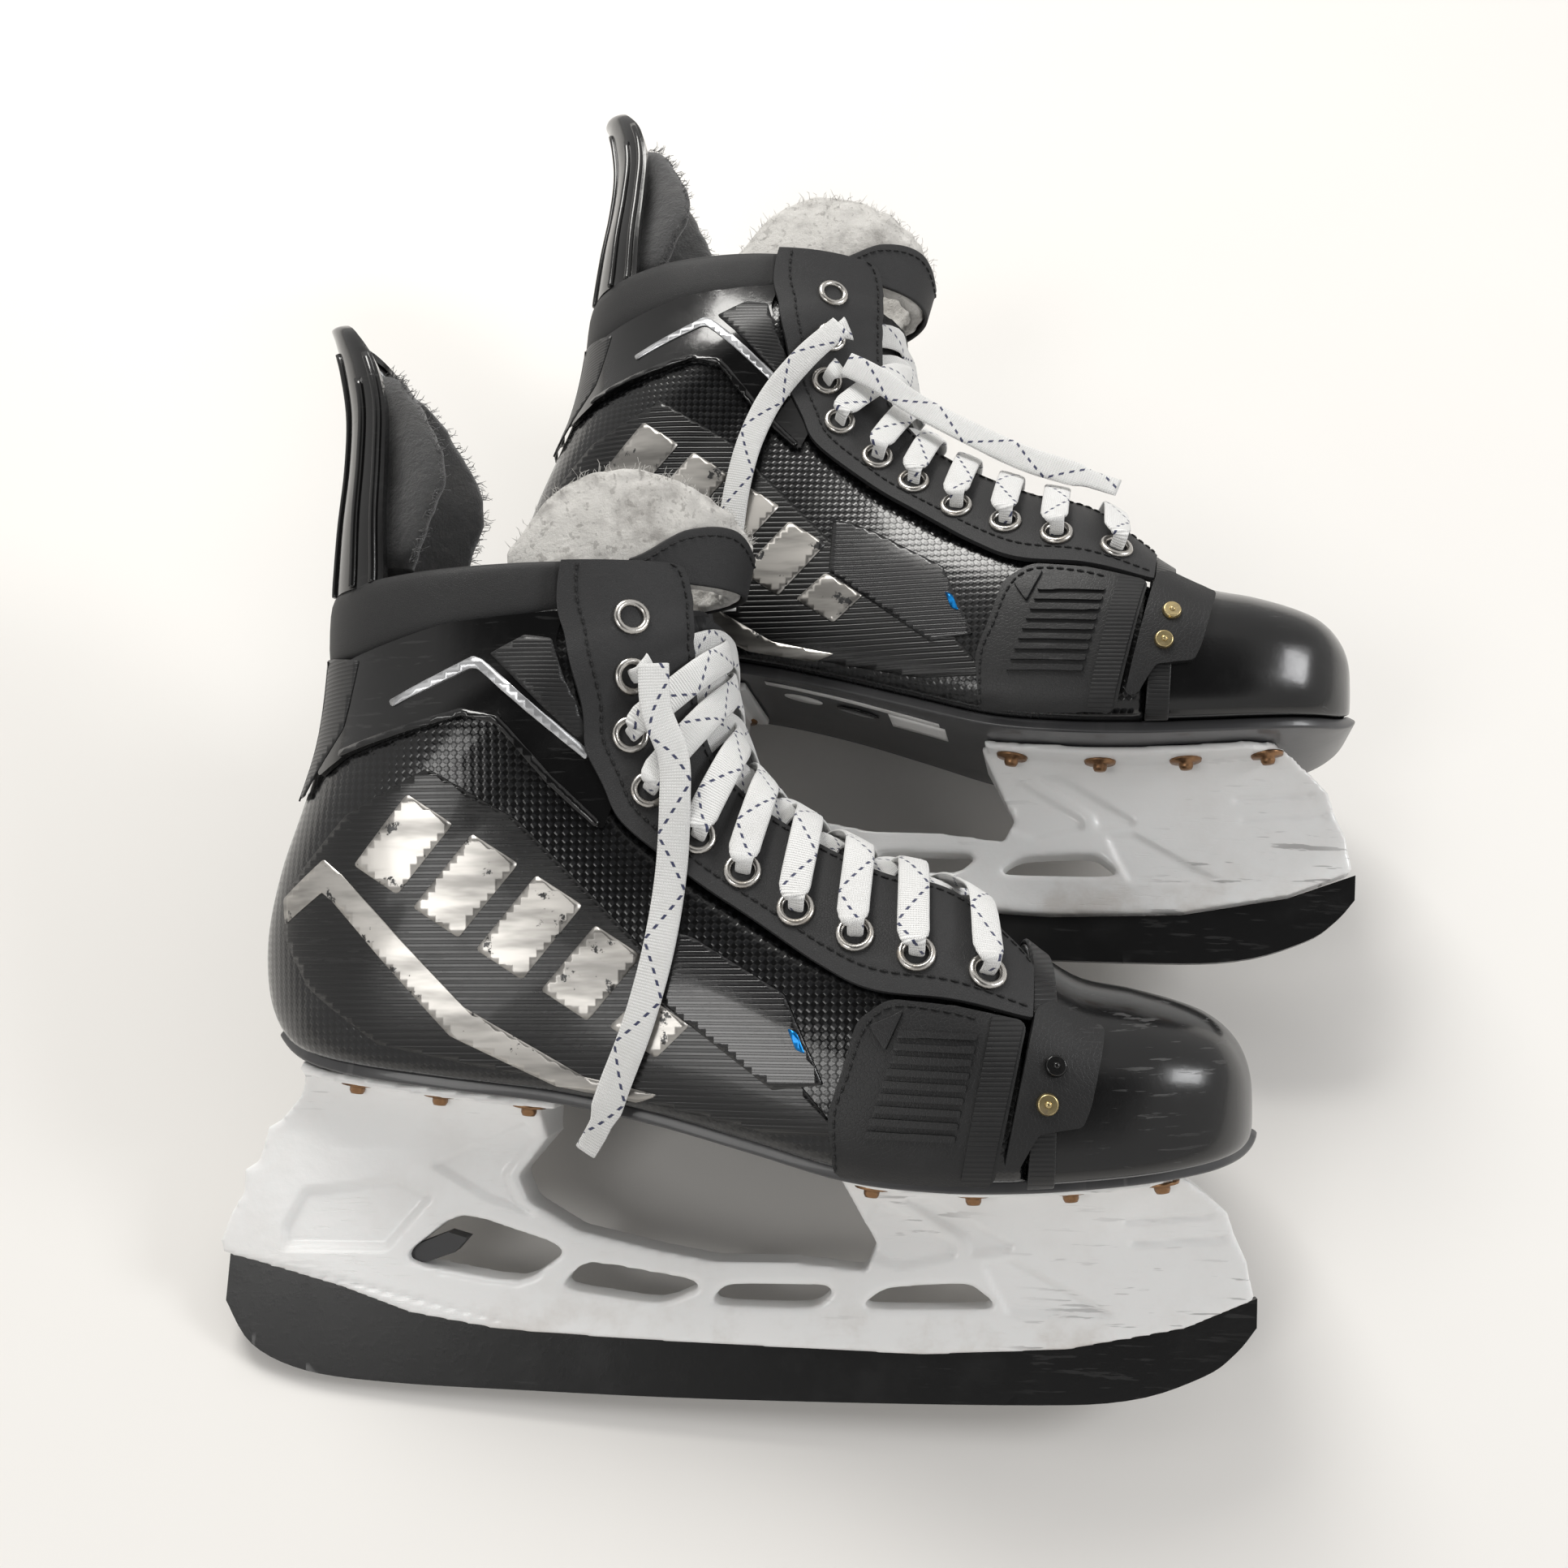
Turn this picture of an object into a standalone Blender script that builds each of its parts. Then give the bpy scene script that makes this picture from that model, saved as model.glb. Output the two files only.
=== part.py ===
"""A pair of hockey skates lying on their sides, as separate named parts.

Each skate is drawn in its own frame: X runs forward to the toe, Z up from the ice, and Y across,
with the outer (lateral) side of the right skate at -Y. The left skate is its mirror image. Both are
then laid on the floor with -Y up. Lengths are in metres.
"""

from math import acos, asin, cos, pi, radians, sin

import bmesh
import bpy
from mathutils import Matrix, Vector

# Driving sizes.
BOOT_LENGTH = 0.274
BOOT_WIDTH = 0.100
COLLAR_HEIGHT = 0.226

# The boot and holder are drawn on a grid of millimetres for a boot 274 long, 100 wide and 226 high.
GRID = Vector((BOOT_LENGTH / 274, BOOT_WIDTH / 100, COLLAR_HEIGHT / 226))

# Walls and layers, as distances out from the boot's skin.
GAP = 0.0003
SHELL_WALL = 0.0025
TOE_CAP_PROUD = 0.0008
TOE_CAP_WALL = 0.0022
LINER_WALL = 0.0034
LINER_GAP = 0.0008
FACING_WALL = 0.0020
FACING_LIFT = 0.0010
TONGUE_DROP = 0.0044
TONGUE_WALL = 0.0040
OVERLAY_LIFT = 0.0007
GUARD_WALL = 0.0020
WING_WALL = 0.0012
FOOTBED_WALL = 0.0025
COLLAR_PAD_OUT = 0.0012
COLLAR_PAD_IN = 0.0075
BOARD_WALL = 0.0005
OUTSOLE_WALL = 0.0022
OUTSOLE_EDGE = 0.0025
FLANGE_WALL = 0.0026

# Eyelets and lace.
EYELET_BORE = 0.0030
EYELET_BARREL = 0.0039
EYELET_RIM = 0.0052
EYELET_RIM_WALL = 0.0008
EYELET_LIFT = 0.0013
STRIP_WALL = 0.0008
STRIP_DROP = 0.0011
STRIP_WIDTH = 0.0110
LACE_WIDTH = 0.0083
LACE_THICKNESS = 0.0014
LACE_PINCH = 0.0038
LACE_PINCH_THICKNESS = 0.0015

# Holder, runner and trigger.
RUNNER_WALL = 0.0030
TANG_WALL = 0.0024
TANG_RISE = 0.0060
SLOT_SIDE = 0.0003
SLOT_TOP = 0.0012
HOLDER_HALF_FOOT = 0.0048
HOLDER_SPREAD = 0.060
TRIGGER_WALL = 0.0060
PIN_RADIUS = 0.0015
PIN_LENGTH = 0.0120
SPRING_WALL = 0.0005
RIVET_HEAD = 0.0050
RIVET_HEAD_RISE = 0.0016
RIVET_SHANK = 0.0022

# Tendon guard and the tongue's upper part.
TENDON_WALL = 0.0030
TENDON_PAD_WALL = 0.0080
FELT_WALL = 0.0050
COVER_WALL = 0.0015

LATERAL, MEDIAL = -1, 1

# Stations run from the toe tip, back along the sole, round the heel and up to the collar. Each has
# its lower or rear point, its upper or front point, half the flat sole's width, the greatest half
# width, how far up that is, and how boxy the section is below and above it.
STATIONS = [
    ((131, 82), (131, 88), 2, 3, 0.50, 2.2, 2.2),
    ((129.5, 76), (129.5, 95.5), 15, 18.2, 0.50, 2.2, 2.2),
    ((126, 73), (126.5, 101), 23, 27.6, 0.48, 2.4, 2.2),
    ((120, 71.2), (121, 105.5), 30, 35.5, 0.45, 2.6, 2.3),
    ((112, 69.8), (113, 108.8), 35, 41.3, 0.42, 2.8, 2.3),
    ((100, 68.2), (101, 112), 38.5, 46, 0.40, 3.0, 2.3),
    ((85, 66.8), (86, 115.5), 40.5, 48.5, 0.38, 3.0, 2.3),
    ((68, 65.8), (71, 126), 41.5, 50, 0.36, 3.0, 2.3),
    ((48, 65.8), (53, 142), 41.5, 50, 0.33, 3.0, 2.2),
    ((25, 68), (35, 148.5), 39.5, 48, 0.32, 3.0, 2.2),
    ((0, 74.5), (16, 159), 36, 44.5, 0.32, 2.8, 2.1),
    ((-25, 81), (1, 170.5), 33, 41, 0.35, 2.6, 2.1),
    ((-52, 86.5), (-6, 182), 31.5, 39.5, 0.40, 2.5, 2.1),
    ((-82, 90), (-8.5, 192), 31, 39.5, 0.45, 2.4, 2.1),
    ((-108, 93.2), (-9.5, 200), 28.5, 39.5, 0.50, 2.3, 2.1),
    ((-126, 96.5), (-10, 205), 20, 40, 0.53, 2.2, 2.1),
    ((-136.5, 102.5), (-10.5, 209), 10, 40.5, 0.55, 2.1, 2.1),
    ((-142, 112), (-10.5, 212), 3, 41.5, 0.56, 2.1, 2.1),
    ((-142.8, 127), (-11, 214), 2, 42.5, 0.56, 2.1, 2.1),
    ((-139.5, 144), (-11, 216), 2, 43.5, 0.55, 2.1, 2.1),
    ((-133.5, 162), (-11.5, 218), 2, 43.5, 0.53, 2.1, 2.1),
    ((-128, 181), (-12, 220), 2, 42, 0.52, 2.1, 2.1),
    ((-125.5, 203), (-12, 222), 2, 41, 0.52, 2.1, 2.1),
    ((-125, 225), (-13, 230), 2, 41, 0.52, 2.1, 2.1),
]

# Places on the skin are (station, height), where height runs from the sole at 0 to the top at 1.
TOE_CAP_END = 6.9
SHELL_START = 6.95
SHELL_END = 21.95
LINER_START = 7.0
SOLE_START = 0.9
SOLE_END = 16.0
COLLAR_FRONT = 0.60
EYELETS = [
    (20.87, 0.814), (17.50, 0.827), (14.69, 0.787), (13.03, 0.737), (11.69, 0.723),
    (10.78, 0.718), (9.98, 0.695), (9.24, 0.701), (8.456, 0.695), (7.58, 0.726),
]
EYELET_LINE = [(22.9, 0.80)] + EYELETS + [(6.7, 0.76)]
FACING_REAR = [
    (22.9, 0.66), (22.0, 0.648), (20.5, 0.686), (17.7, 0.736), (15.2, 0.715), (14.0, 0.692),
    (13.1, 0.655), (12.0, 0.636), (10.6, 0.62), (9.6, 0.58), (9.0, 0.565), (8.0, 0.59),
    (7.1, 0.655), (6.95, 0.67),
]
FACING_FRONT = [
    (22.9, 0.90), (22.4, 0.927), (19.5, 0.936), (15.6, 0.93), (13.3, 0.904), (12.2, 0.89),
    (11.0, 0.90), (9.6, 0.906), (9.0, 0.913), (8.2, 0.925), (7.2, 0.905), (6.95, 0.86),
]
GUARD_LOWER = [(7.15, 0.03), (8.2, 0.02), (9.15, 0.02)]
GUARD_UPPER = [(7.05, 0.60), (8.0, 0.54), (8.8, 0.505), (9.1, 0.40)]
WING_LOWER = [(20.4, 0.14), (19.5, 0.49), (18.7, 0.55), (15.4, 0.62), (13.6, 0.60)]
WING_UPPER = [(21.0, 0.27), (21.1, 0.47), (19.5, 0.60), (17.0, 0.665), (14.6, 0.655)]
CLIP_LOWER = [(6.35, 0.24), (6.15, 0.22), (5.95, 0.26)]
CLIP_UPPER = [(6.55, 0.78), (6.2, 0.76), (5.75, 0.72)]

# The holder's side view.
HOLDER_FOOT = [
    (-155, 42), (-154, 38.7), (-120, 29.6), (-100, 22.7), (-74, 18.4), (-41, 16.5),
    (-13, 15.4), (43, 13.6), (82, 15.6), (113.5, 21.9), (132, 29.7),
]
HOLDER_NOSE = [(130, 40), (127, 47), (125, 53), (120, 57.7)]
HOLDER_SADDLE = [
    (27, 50.5), (31, 43), (28, 36), (9.5, 38), (-13, 38), (-30, 41), (-52, 46),
    (-66, 54), (-69, 61), (-60, 72),
]
HOLDER_HEEL = [(-130, 84), (-137, 76.4), (-144, 64.5), (-148, 58)]
WINDOWS = [
    [(-104, 37), (-86, 51), (-54, 41), (-68, 31)],
    [(-50, 38), (-15, 32), (-29, 26), (-58, 30)],
    [(-11, 32), (21, 32), (14, 25.5), (-16, 26)],
    [(25, 25.5), (33, 31.5), (56, 33), (62, 28.5), (63, 26)],
]
FRONT_FLANGE = [(4.35, 20), (5.0, 26), (6.5, 27), (8.5, 26), (9.1, 22)]
REAR_FLANGE = [(12.1, 20), (12.6, 24), (13.6, 24), (14.6, 21.5), (15.1, 16)]
FRONT_RIVETS = [(31, 17), (57, 18), (82, 18), (105.5, 17)]
REAR_RIVETS = [(-63, 16), (-88, 16), (-111.5, 15.5)]

# The runner's edge on the ice, from heel to toe.
RUNNER_EDGE = [
    (-155, 24.5), (-147, 12.5), (-131, 5.5), (-106, 2.7), (-68, 1.3), (-13, 0),
    (65, 0), (98, 1.8), (118.5, 8.5), (127.5, 15), (133, 21.6),
]
RUNNER_PIVOT = (129, 36.5)

TRIGGER_PIVOT = (-108, 38)
TRIGGER = [(-108, 41.6), (-99, 41), (-90, 44.5), (-84.5, 43), (-88, 39), (-95, 36.6), (-108, 34.4), (-111.6, 38)]
TRIGGER_POCKET = [(-114, 31), (-114, 48), (-90, 48), (-90, 43), (-96, 31)]
SPRING = [(-113, 45.6), (-106, 46.6), (-99, 45.4), (-92.5, 46.4)]

# The tendon guard: height, where its back is, how far it wraps forward and half its width.
TENDON = [
    (229, -125, 22, 31), (245, -124, 20, 30), (262, -122.5, 18, 28), (278, -122.5, 17, 26),
    (292, -125, 15, 22.5), (302, -128, 11, 17), (308, -130, 6, 9.5),
]
TENDON_PAD = [
    (233, -121.5, 26, 25), (245, -120.5, 28, 25), (258, -118.5, 30, 24), (270, -118, 26, 22),
    (284, -117.5, 17, 18), (291, -119, 12, 12),
]
TENDON_PIVOT = (-122, 229)

# The upper tongue: angle round from the front, and its top edge there.
TONGUE_AXIS = -62
TONGUE_REACH = 55
TONGUE_HALF = 30
TONGUE_FOOT = 226
TONGUE_LEAN = 0.22
TONGUE_TOP = [
    (-97, 234), (-85, 249), (-72, 256), (-55, 256), (-30, 249), (0, 242),
    (30, 249), (55, 256), (72, 256), (85, 249), (97, 234),
]
COVER_TOP = [(-62, 231), (-45, 240), (-25, 242), (0, 237), (25, 242), (45, 240), (62, 231)]
TONGUE_PIVOT = (-20, 222)

# How each skate lies: across the floor, its turn, how far the collar lifts and how far the toe lifts.
REST = {
    "right": (Vector((-0.045, -0.120, 0)), radians(-2), radians(26.5), radians(4.5)),
    "left": (Vector((0.0, BOOT_LENGTH / 5 - 0.0455 + RUNNER_WALL / 2, 0)), radians(-7), radians(18), radians(9)),
}

# The eyelet that each end of the lace comes out of last, on its lateral and its medial chain.
LACE_LAST = {"right": (1, 1), "left": (2, 1)}

# The laces' free ends, as they lie, from the eyelet to the tip.
LACE_ENDS = {
    "right_lace_end": [
        (-0.0440, -0.0585, 0.1342), (-0.0430, -0.0700, 0.1295), (-0.0385, -0.0810, 0.1242),
        (-0.0380, -0.0920, 0.1188), (-0.0390, -0.1080, 0.1092), (-0.0420, -0.1260, 0.1018),
        (-0.0470, -0.1430, 0.0937), (-0.0530, -0.1560, 0.0845), (-0.0570, -0.1640, 0.0770),
        (-0.0614, -0.1690, 0.0700),
    ],
    "left_lace_end_upper": [
        (0.0090, 0.0903, 0.1162), (-0.0020, 0.0815, 0.1120), (-0.0130, 0.0700, 0.1056),
        (-0.0200, 0.0560, 0.1006), (-0.0240, 0.0420, 0.0955), (-0.0262, 0.0280, 0.0900),
        (-0.0272, 0.0140, 0.0845), (-0.0275, 0.0020, 0.0800),
    ],
    "left_lace_end_lower": [
        (0.0105, 0.0782, 0.1113), (0.0200, 0.0730, 0.1100), (0.0340, 0.0640, 0.1062),
        (0.0500, 0.0540, 0.1045), (0.0660, 0.0440, 0.1040), (0.0800, 0.0365, 0.1052),
        (0.0940, 0.0300, 0.1055),
    ],
}
LACE_END_FACE = (0, -0.33, 0.94)

COLOURS = {
    "black_gloss": ((0.012, 0.012, 0.014, 1), 0.25, 0.0),
    "black_rubber": ((0.03, 0.03, 0.032, 1), 0.65, 0.0),
    "charcoal_leather": ((0.045, 0.045, 0.05, 1), 0.55, 0.0),
    "grey_composite": ((0.22, 0.225, 0.235, 1), 0.4, 0.0),
    "white_plastic": ((0.72, 0.72, 0.70, 1), 0.35, 0.0),
    "black_steel": ((0.04, 0.04, 0.045, 1), 0.3, 0.9),
    "steel": ((0.5, 0.5, 0.5, 1), 0.3, 1.0),
    "bronze": ((0.25, 0.17, 0.09, 1), 0.35, 1.0),
    "felt": ((0.55, 0.55, 0.53, 1), 0.95, 0.0),
    "lining": ((0.05, 0.05, 0.055, 1), 0.9, 0.0),
    "lace": ((0.78, 0.78, 0.76, 1), 0.85, 0.0),
}


def material(name):
    found = bpy.data.materials.get(name)
    if found:
        return found
    colour, roughness, metallic = COLOURS[name]
    made = bpy.data.materials.new(name)
    made.use_nodes = True
    shader = made.node_tree.nodes["Principled BSDF"]
    shader.inputs["Base Color"].default_value = colour
    shader.inputs["Roughness"].default_value = roughness
    shader.inputs["Metallic"].default_value = metallic
    made.diffuse_color = colour
    return made


class Skate:
    """One skate's frame: what it is called, which hand it is, and the empty that lays it down."""

    def __init__(self, name):
        self.name = name
        self.hand = 1 if name == "right" else -1
        self.frame = bpy.data.objects.new(f"{name}_frame", None)
        bpy.context.collection.objects.link(self.frame)
        self.parts = []

    def add(self, name, bm, colour, pivot=(0, 0, 0)):
        """Makes a part of a bmesh drawn in the skate's frame, with its origin at pivot."""
        pivot = Vector(pivot)
        bmesh.ops.translate(bm, verts=bm.verts, vec=-pivot)
        if self.hand < 0:
            bmesh.ops.scale(bm, verts=bm.verts, vec=(1, -1, 1))
        bmesh.ops.recalc_face_normals(bm, faces=bm.faces)
        mesh = bpy.data.meshes.new(name)
        bm.to_mesh(mesh)
        bm.free()
        obj = bpy.data.objects.new(f"{self.name}_{name}", mesh)
        bpy.context.collection.objects.link(obj)
        obj.data.materials.append(material(colour))
        obj.parent = self.frame
        obj.location = (pivot.x, pivot.y * self.hand, pivot.z)
        self.parts.append(obj)
        return obj

    def tool(self, obj, name, bm, operation="DIFFERENCE"):
        """Cuts a shape out of a part, or joins one to it."""
        cutter = self.add(name, bm, "steel")
        self.parts.remove(cutter)
        cutter.hide_render = True
        cutter.display_type = "WIRE"
        modifier = obj.modifiers.new(name, "BOOLEAN")
        modifier.operation = operation
        modifier.solver = "EXACT"
        modifier.object = cutter


def at(x, z, y=0.0):
    """A point of the drawing grid, in metres."""
    return Vector((x * GRID.x, y * GRID.y, z * GRID.z))


def smooth(table, place):
    """A row between two rows of a table, on a curve through all of them."""
    place = min(max(place, 0.0), len(table) - 1 - 1e-9)
    first = int(place)
    t = place - first
    rows = [table[min(max(first + k, 0), len(table) - 1)] for k in (-1, 0, 1, 2)]
    return [
        0.5 * (2 * b + (c - a) * t + (2 * a - 5 * b + 4 * c - d) * t * t + (3 * b - a - 3 * c + d) * t**3)
        for a, b, c, d in zip(*rows)
    ]


def straight(table, key):
    """The rest of the row at a key, between the two rows whose first values lie round it."""
    rows = sorted(table)
    if key <= rows[0][0]:
        return list(rows[0][1:])
    for low, high in zip(rows, rows[1:]):
        if key <= high[0]:
            t = (key - low[0]) / (high[0] - low[0])
            return [a + (b - a) * t for a, b in zip(low[1:], high[1:])]
    return list(rows[-1][1:])


def spaced(low, high, count):
    return [low + (high - low) * i / (count - 1) for i in range(count)]


FLAT_STATIONS = [(*low, *high, *rest) for low, high, *rest in STATIONS]


def station(u):
    """The section at station u: its lower and upper points, half widths and shape."""
    low_x, low_z, high_x, high_z, sole, widest, rise, below, above = smooth(FLAT_STATIONS, u)
    return at(low_x, low_z), at(high_x, high_z), sole * GRID.y, widest * GRID.y, rise, below, above


def on_section(u, v, side):
    """The skin at station u. v is -1 at the sole's edge, 0 where it is widest and 1 on top."""
    low, high, sole, widest, rise, below, above = station(u)
    if v <= 0:
        angle = (v + 1) * pi / 2
        height = rise * (1 - max(cos(angle), 0) ** (2 / below))
        half = sole + (widest - sole) * max(sin(angle), 0) ** (2 / below)
    else:
        angle = v * pi / 2
        height = rise + (1 - rise) * max(sin(angle), 0) ** (2 / above)
        half = widest * max(cos(angle), 0) ** (2 / above)
    point = low + (high - low) * height
    return point + Vector((0, side * half, 0))


def v_at(u, height):
    """The v of a height on the section at u."""
    rise, below, above = station(u)[4:]
    if height <= rise:
        return acos(min(max(1 - height / rise, 0), 1) ** (below / 2)) / (pi / 2) - 1
    return asin(min((height - rise) / (1 - rise), 1) ** (above / 2)) / (pi / 2)


def skin(u, v, side, out=0.0):
    """A point of the skin, moved out along its normal."""
    if v > 1:
        side, v = -side, 2 - v
    step = 0.02
    u_step = 0.05
    point = on_section(u, v, side)
    u_low, u_high = max(u - u_step, 0), min(u + u_step, len(STATIONS) - 1)
    along = on_section(u_high, v, side) - on_section(u_low, v, side)
    if v + step > 1:
        across = on_section(u, 1 - (v + step - 1), -side) - on_section(u, v - step, side)
    else:
        across = on_section(u, v + step, side) - on_section(u, max(v - step, -1), side)
    normal = along.cross(across).normalized()
    low, high = station(u)[:2]
    if normal.dot(point - (low + high) / 2) < 0:
        normal.negate()
    return point + normal * out


def sole_point(u, y, out=0.0):
    """A point of the sole's plane at station u, y across, moved out (down)."""
    low, high = station(u)[:2]
    ahead, behind = station(max(u - 0.05, 0))[0], station(min(u + 0.05, len(STATIONS) - 1))[0]
    along = (ahead - behind).normalized()
    down = Vector((along.z, 0, -along.x))
    if down.dot(high - low) > 0:
        down.negate()
    return low + down * out + Vector((0, y, 0))


def slab(outer, inner, ring=False):
    """A solid between two grids of points. A ring grid closes on itself across its rows."""
    bm = bmesh.new()
    out = [[bm.verts.new(p) for p in row] for row in outer]
    inn = [[bm.verts.new(p) for p in row] for row in inner]
    rows, columns = len(out), len(out[0])
    across = range(columns if ring else columns - 1)
    for i in range(rows - 1):
        for j in across:
            k = (j + 1) % columns
            bm.faces.new((out[i][j], out[i][k], out[i + 1][k], out[i + 1][j]))
            bm.faces.new((inn[i][j], inn[i + 1][j], inn[i + 1][k], inn[i][k]))
    for i in (0, rows - 1):
        for j in across:
            k = (j + 1) % columns
            bm.faces.new((out[i][j], inn[i][j], inn[i][k], out[i][k]))
    if not ring:
        for j in (0, columns - 1):
            for i in range(rows - 1):
                bm.faces.new((out[i][j], out[i + 1][j], inn[i + 1][j], inn[i][j]))
    return bm


def wrap(u_values, top, outer, inner, sides=6, sole_cells=3):
    """A shell round the boot from one top edge, down, under the sole and up to the other edge."""

    def row(u, out):
        edge = top(u)
        down = [skin(u, v, LATERAL, out) for v in spaced(edge, -1, sides + 1)]
        half = station(u)[2]
        under = [sole_point(u, y, out) for y in spaced(-half, half, sole_cells + 1)[1:-1]]
        up = [skin(u, v, MEDIAL, out) for v in spaced(-1, edge, sides + 1)]
        return down + under + up

    return slab([row(u, outer) for u in u_values], [row(u, inner) for u in u_values])


def between(lower, upper, side, outer, inner, along=8, across=4):
    """A plate on the skin, ruled between two curves of places."""

    def places(curve):
        rows = [smooth(curve, i * (len(curve) - 1) / along) for i in range(along + 1)]
        return [(u, v_at(u, height)) for u, height in rows]

    low, high = places(lower), places(upper)

    def grid(out):
        return [
            [skin(a[0] + (b[0] - a[0]) * t, a[1] + (b[1] - a[1]) * t, side, out) for t in spaced(0, 1, across + 1)]
            for a, b in zip(low, high)
        ]

    return slab(grid(outer), grid(inner))


def sole_plate(widths, top, bottom, count=8, cells=2):
    """A plate under the boot. widths gives half the width at stations; top and bottom are depths."""
    u_values = spaced(widths[0][0], widths[-1][0], count + 1)

    def grid(out):
        return [[sole_point(u, y, out) for y in spaced(-1, 1, cells + 1)] for u in u_values]

    def spread(rows):
        for u, row in zip(u_values, rows):
            half = straight(widths, u)[0] * GRID.y
            for i, t in enumerate(spaced(-half, half, cells + 1)):
                row[i].y = t
        return rows

    return slab(spread(grid(top)), spread(grid(bottom)))


def plate(outline, half, holes=()):
    """A plate across Y from a side view. half gives half its thickness at a height."""
    bm = bmesh.new()
    edges = []
    for loop in (outline, *holes):
        verts = [bm.verts.new(at(x, z)) for x, z in loop]
        edges += [bm.edges.new((a, b)) for a, b in zip(verts, verts[1:] + verts[:1])]
    faces = bmesh.ops.triangle_fill(bm, use_beauty=True, edges=edges)["geom"]
    faces = [face for face in faces if isinstance(face, bmesh.types.BMFace)]
    lower = list(bm.verts)
    raised = bmesh.ops.extrude_face_region(bm, geom=faces)["geom"]
    upper = [vert for vert in raised if isinstance(vert, bmesh.types.BMVert)]
    for vert in lower:
        vert.co.y = -half(vert.co.z)
    for vert in upper:
        vert.co.y = half(vert.co.z)
    return bm


def cylinder(start, end, radius, segments=10, into=None):
    """A cylinder between two points."""
    bm = into or bmesh.new()
    axis = end - start
    turn = axis.to_track_quat("Z", "Y").to_matrix().to_4x4()
    bmesh.ops.create_cone(
        bm, cap_ends=True, segments=segments, radius1=radius, radius2=radius, depth=axis.length,
        matrix=Matrix.Translation((start + end) / 2) @ turn,
    )
    return bm


def ribbon(path, into=None):
    """A flat strip along (point, width direction, width, thickness) rows."""
    bm = into or bmesh.new()
    rings = []
    for i, (point, across, width, thickness) in enumerate(path):
        ahead = path[min(i + 1, len(path) - 1)][0]
        behind = path[max(i - 1, 0)][0]
        tangent = (ahead - behind).normalized()
        across = (across - tangent * across.dot(tangent)).normalized()
        normal = tangent.cross(across)
        corners = [(-1, -1), (1, -1), (1, 1), (-1, 1)]
        rings.append([
            bm.verts.new(point + across * (a * width / 2) + normal * (b * thickness / 2)) for a, b in corners
        ])
    for low, high in zip(rings, rings[1:]):
        for j in range(4):
            k = (j + 1) % 4
            bm.faces.new((low[j], low[k], high[k], high[j]))
    bm.faces.new(rings[0][::-1])
    bm.faces.new(rings[-1])
    return bm


def eyelet_v(u):
    return v_at(u, straight(EYELET_LINE, u)[0])


def shell_edge(u):
    """The shell stops short of the eyelets, under the facing."""
    v = eyelet_v(u)
    rate = (on_section(u, v, 1) - on_section(u, v - 0.02, 1)).length / 0.02
    return v - (EYELET_RIM + 0.002) / rate


def boot_shell(skate):
    stations = [SHELL_START, 7.5] + spaced(8, 21, 14) + [SHELL_END]
    skate.add("boot_shell", wrap(stations, shell_edge, 0, -SHELL_WALL, 5, 2), "black_gloss")


def liner(skate):
    outer = -SHELL_WALL - LINER_GAP
    stations = [LINER_START] + spaced(8, 21, 14) + [SHELL_END - 0.1]

    def edge(u):
        return shell_edge(u) - 0.05

    skate.add("liner", wrap(stations, edge, outer, outer - LINER_WALL, 5, 2), "lining")


def toe_cap(skate):
    outside = TOE_CAP_PROUD

    def ring(u, out):
        half = station(u)[2]
        up = [skin(u, v, MEDIAL, out if v > -1 else min(out, 0)) for v in spaced(-1, 1, 7)]
        down = [skin(u, v, LATERAL, out if v > -1 else min(out, 0)) for v in spaced(1, -1, 7)][1:]
        under = [sole_point(u, 0, min(out, 0))]
        return up + down + under

    outer = [ring(u, outside) for u in (0.0, 0.5, 1, 2, 3, 4, 5, 6, TOE_CAP_END)]
    inner = [ring(u, outside - TOE_CAP_WALL) for u in (0.55, 0.9, 1.3, 2, 3, 4, 5, 6, TOE_CAP_END)]
    bm = bmesh.new()
    out = [[bm.verts.new(p) for p in row] for row in outer]
    inn = [[bm.verts.new(p) for p in row] for row in inner]
    count = len(out[0])
    for i in range(len(out) - 1):
        for j in range(count):
            k = (j + 1) % count
            bm.faces.new((out[i][j], out[i][k], out[i + 1][k], out[i + 1][j]))
            bm.faces.new((inn[i][j], inn[i + 1][j], inn[i + 1][k], inn[i][k]))
    for j in range(count):
        k = (j + 1) % count
        bm.faces.new((out[-1][j], out[-1][k], inn[-1][k], inn[-1][j]))
    bm.faces.new(out[0])
    bm.faces.new(inn[0])
    skate.add("toe_cap", bm, "black_rubber")


def outsole(skate):
    widths = [(u, station(u)[2] / GRID.y + OUTSOLE_EDGE / GRID.y) for u in spaced(SOLE_START, SOLE_END, 30)]
    top = GAP * 3 + BOARD_WALL
    bm = sole_plate(widths, top, top + OUTSOLE_WALL, 22, 1)
    obj = skate.add("outsole", bm, "grey_composite")
    skate.tool(obj, "outsole_rivet_holes", rivet_pins(GAP, 0.02, 0))


def footbed(skate):
    top = -SHELL_WALL - LINER_GAP - LINER_WALL - 2 * GAP
    widths = [(u, station(u)[2] / GRID.y - 7) for u in spaced(7.2, 14.6, 12)]
    bm = sole_plate(widths, top, top - FOOTBED_WALL, 10, 2)
    skate.add("footbed", bm, "lining")


def facing(skate, side, name):
    low, high = FACING_LIFT, FACING_LIFT + FACING_WALL
    bm = between(FACING_REAR, FACING_FRONT, side, high, low, 24, 2)
    obj = skate.add(f"facing_{name}", bm, "charcoal_leather")
    skate.tool(obj, f"facing_holes_{name}", eyelet_posts(side, EYELET_BARREL + GAP, -0.004, 0.008))


def eyelet_posts(side, radius, low, high, segments=6):
    bm = bmesh.new()
    for u, height in EYELETS:
        v = v_at(u, height)
        cylinder(skin(u, v, side, low), skin(u, v, side, high), radius, segments, bm)
    return bm


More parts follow.
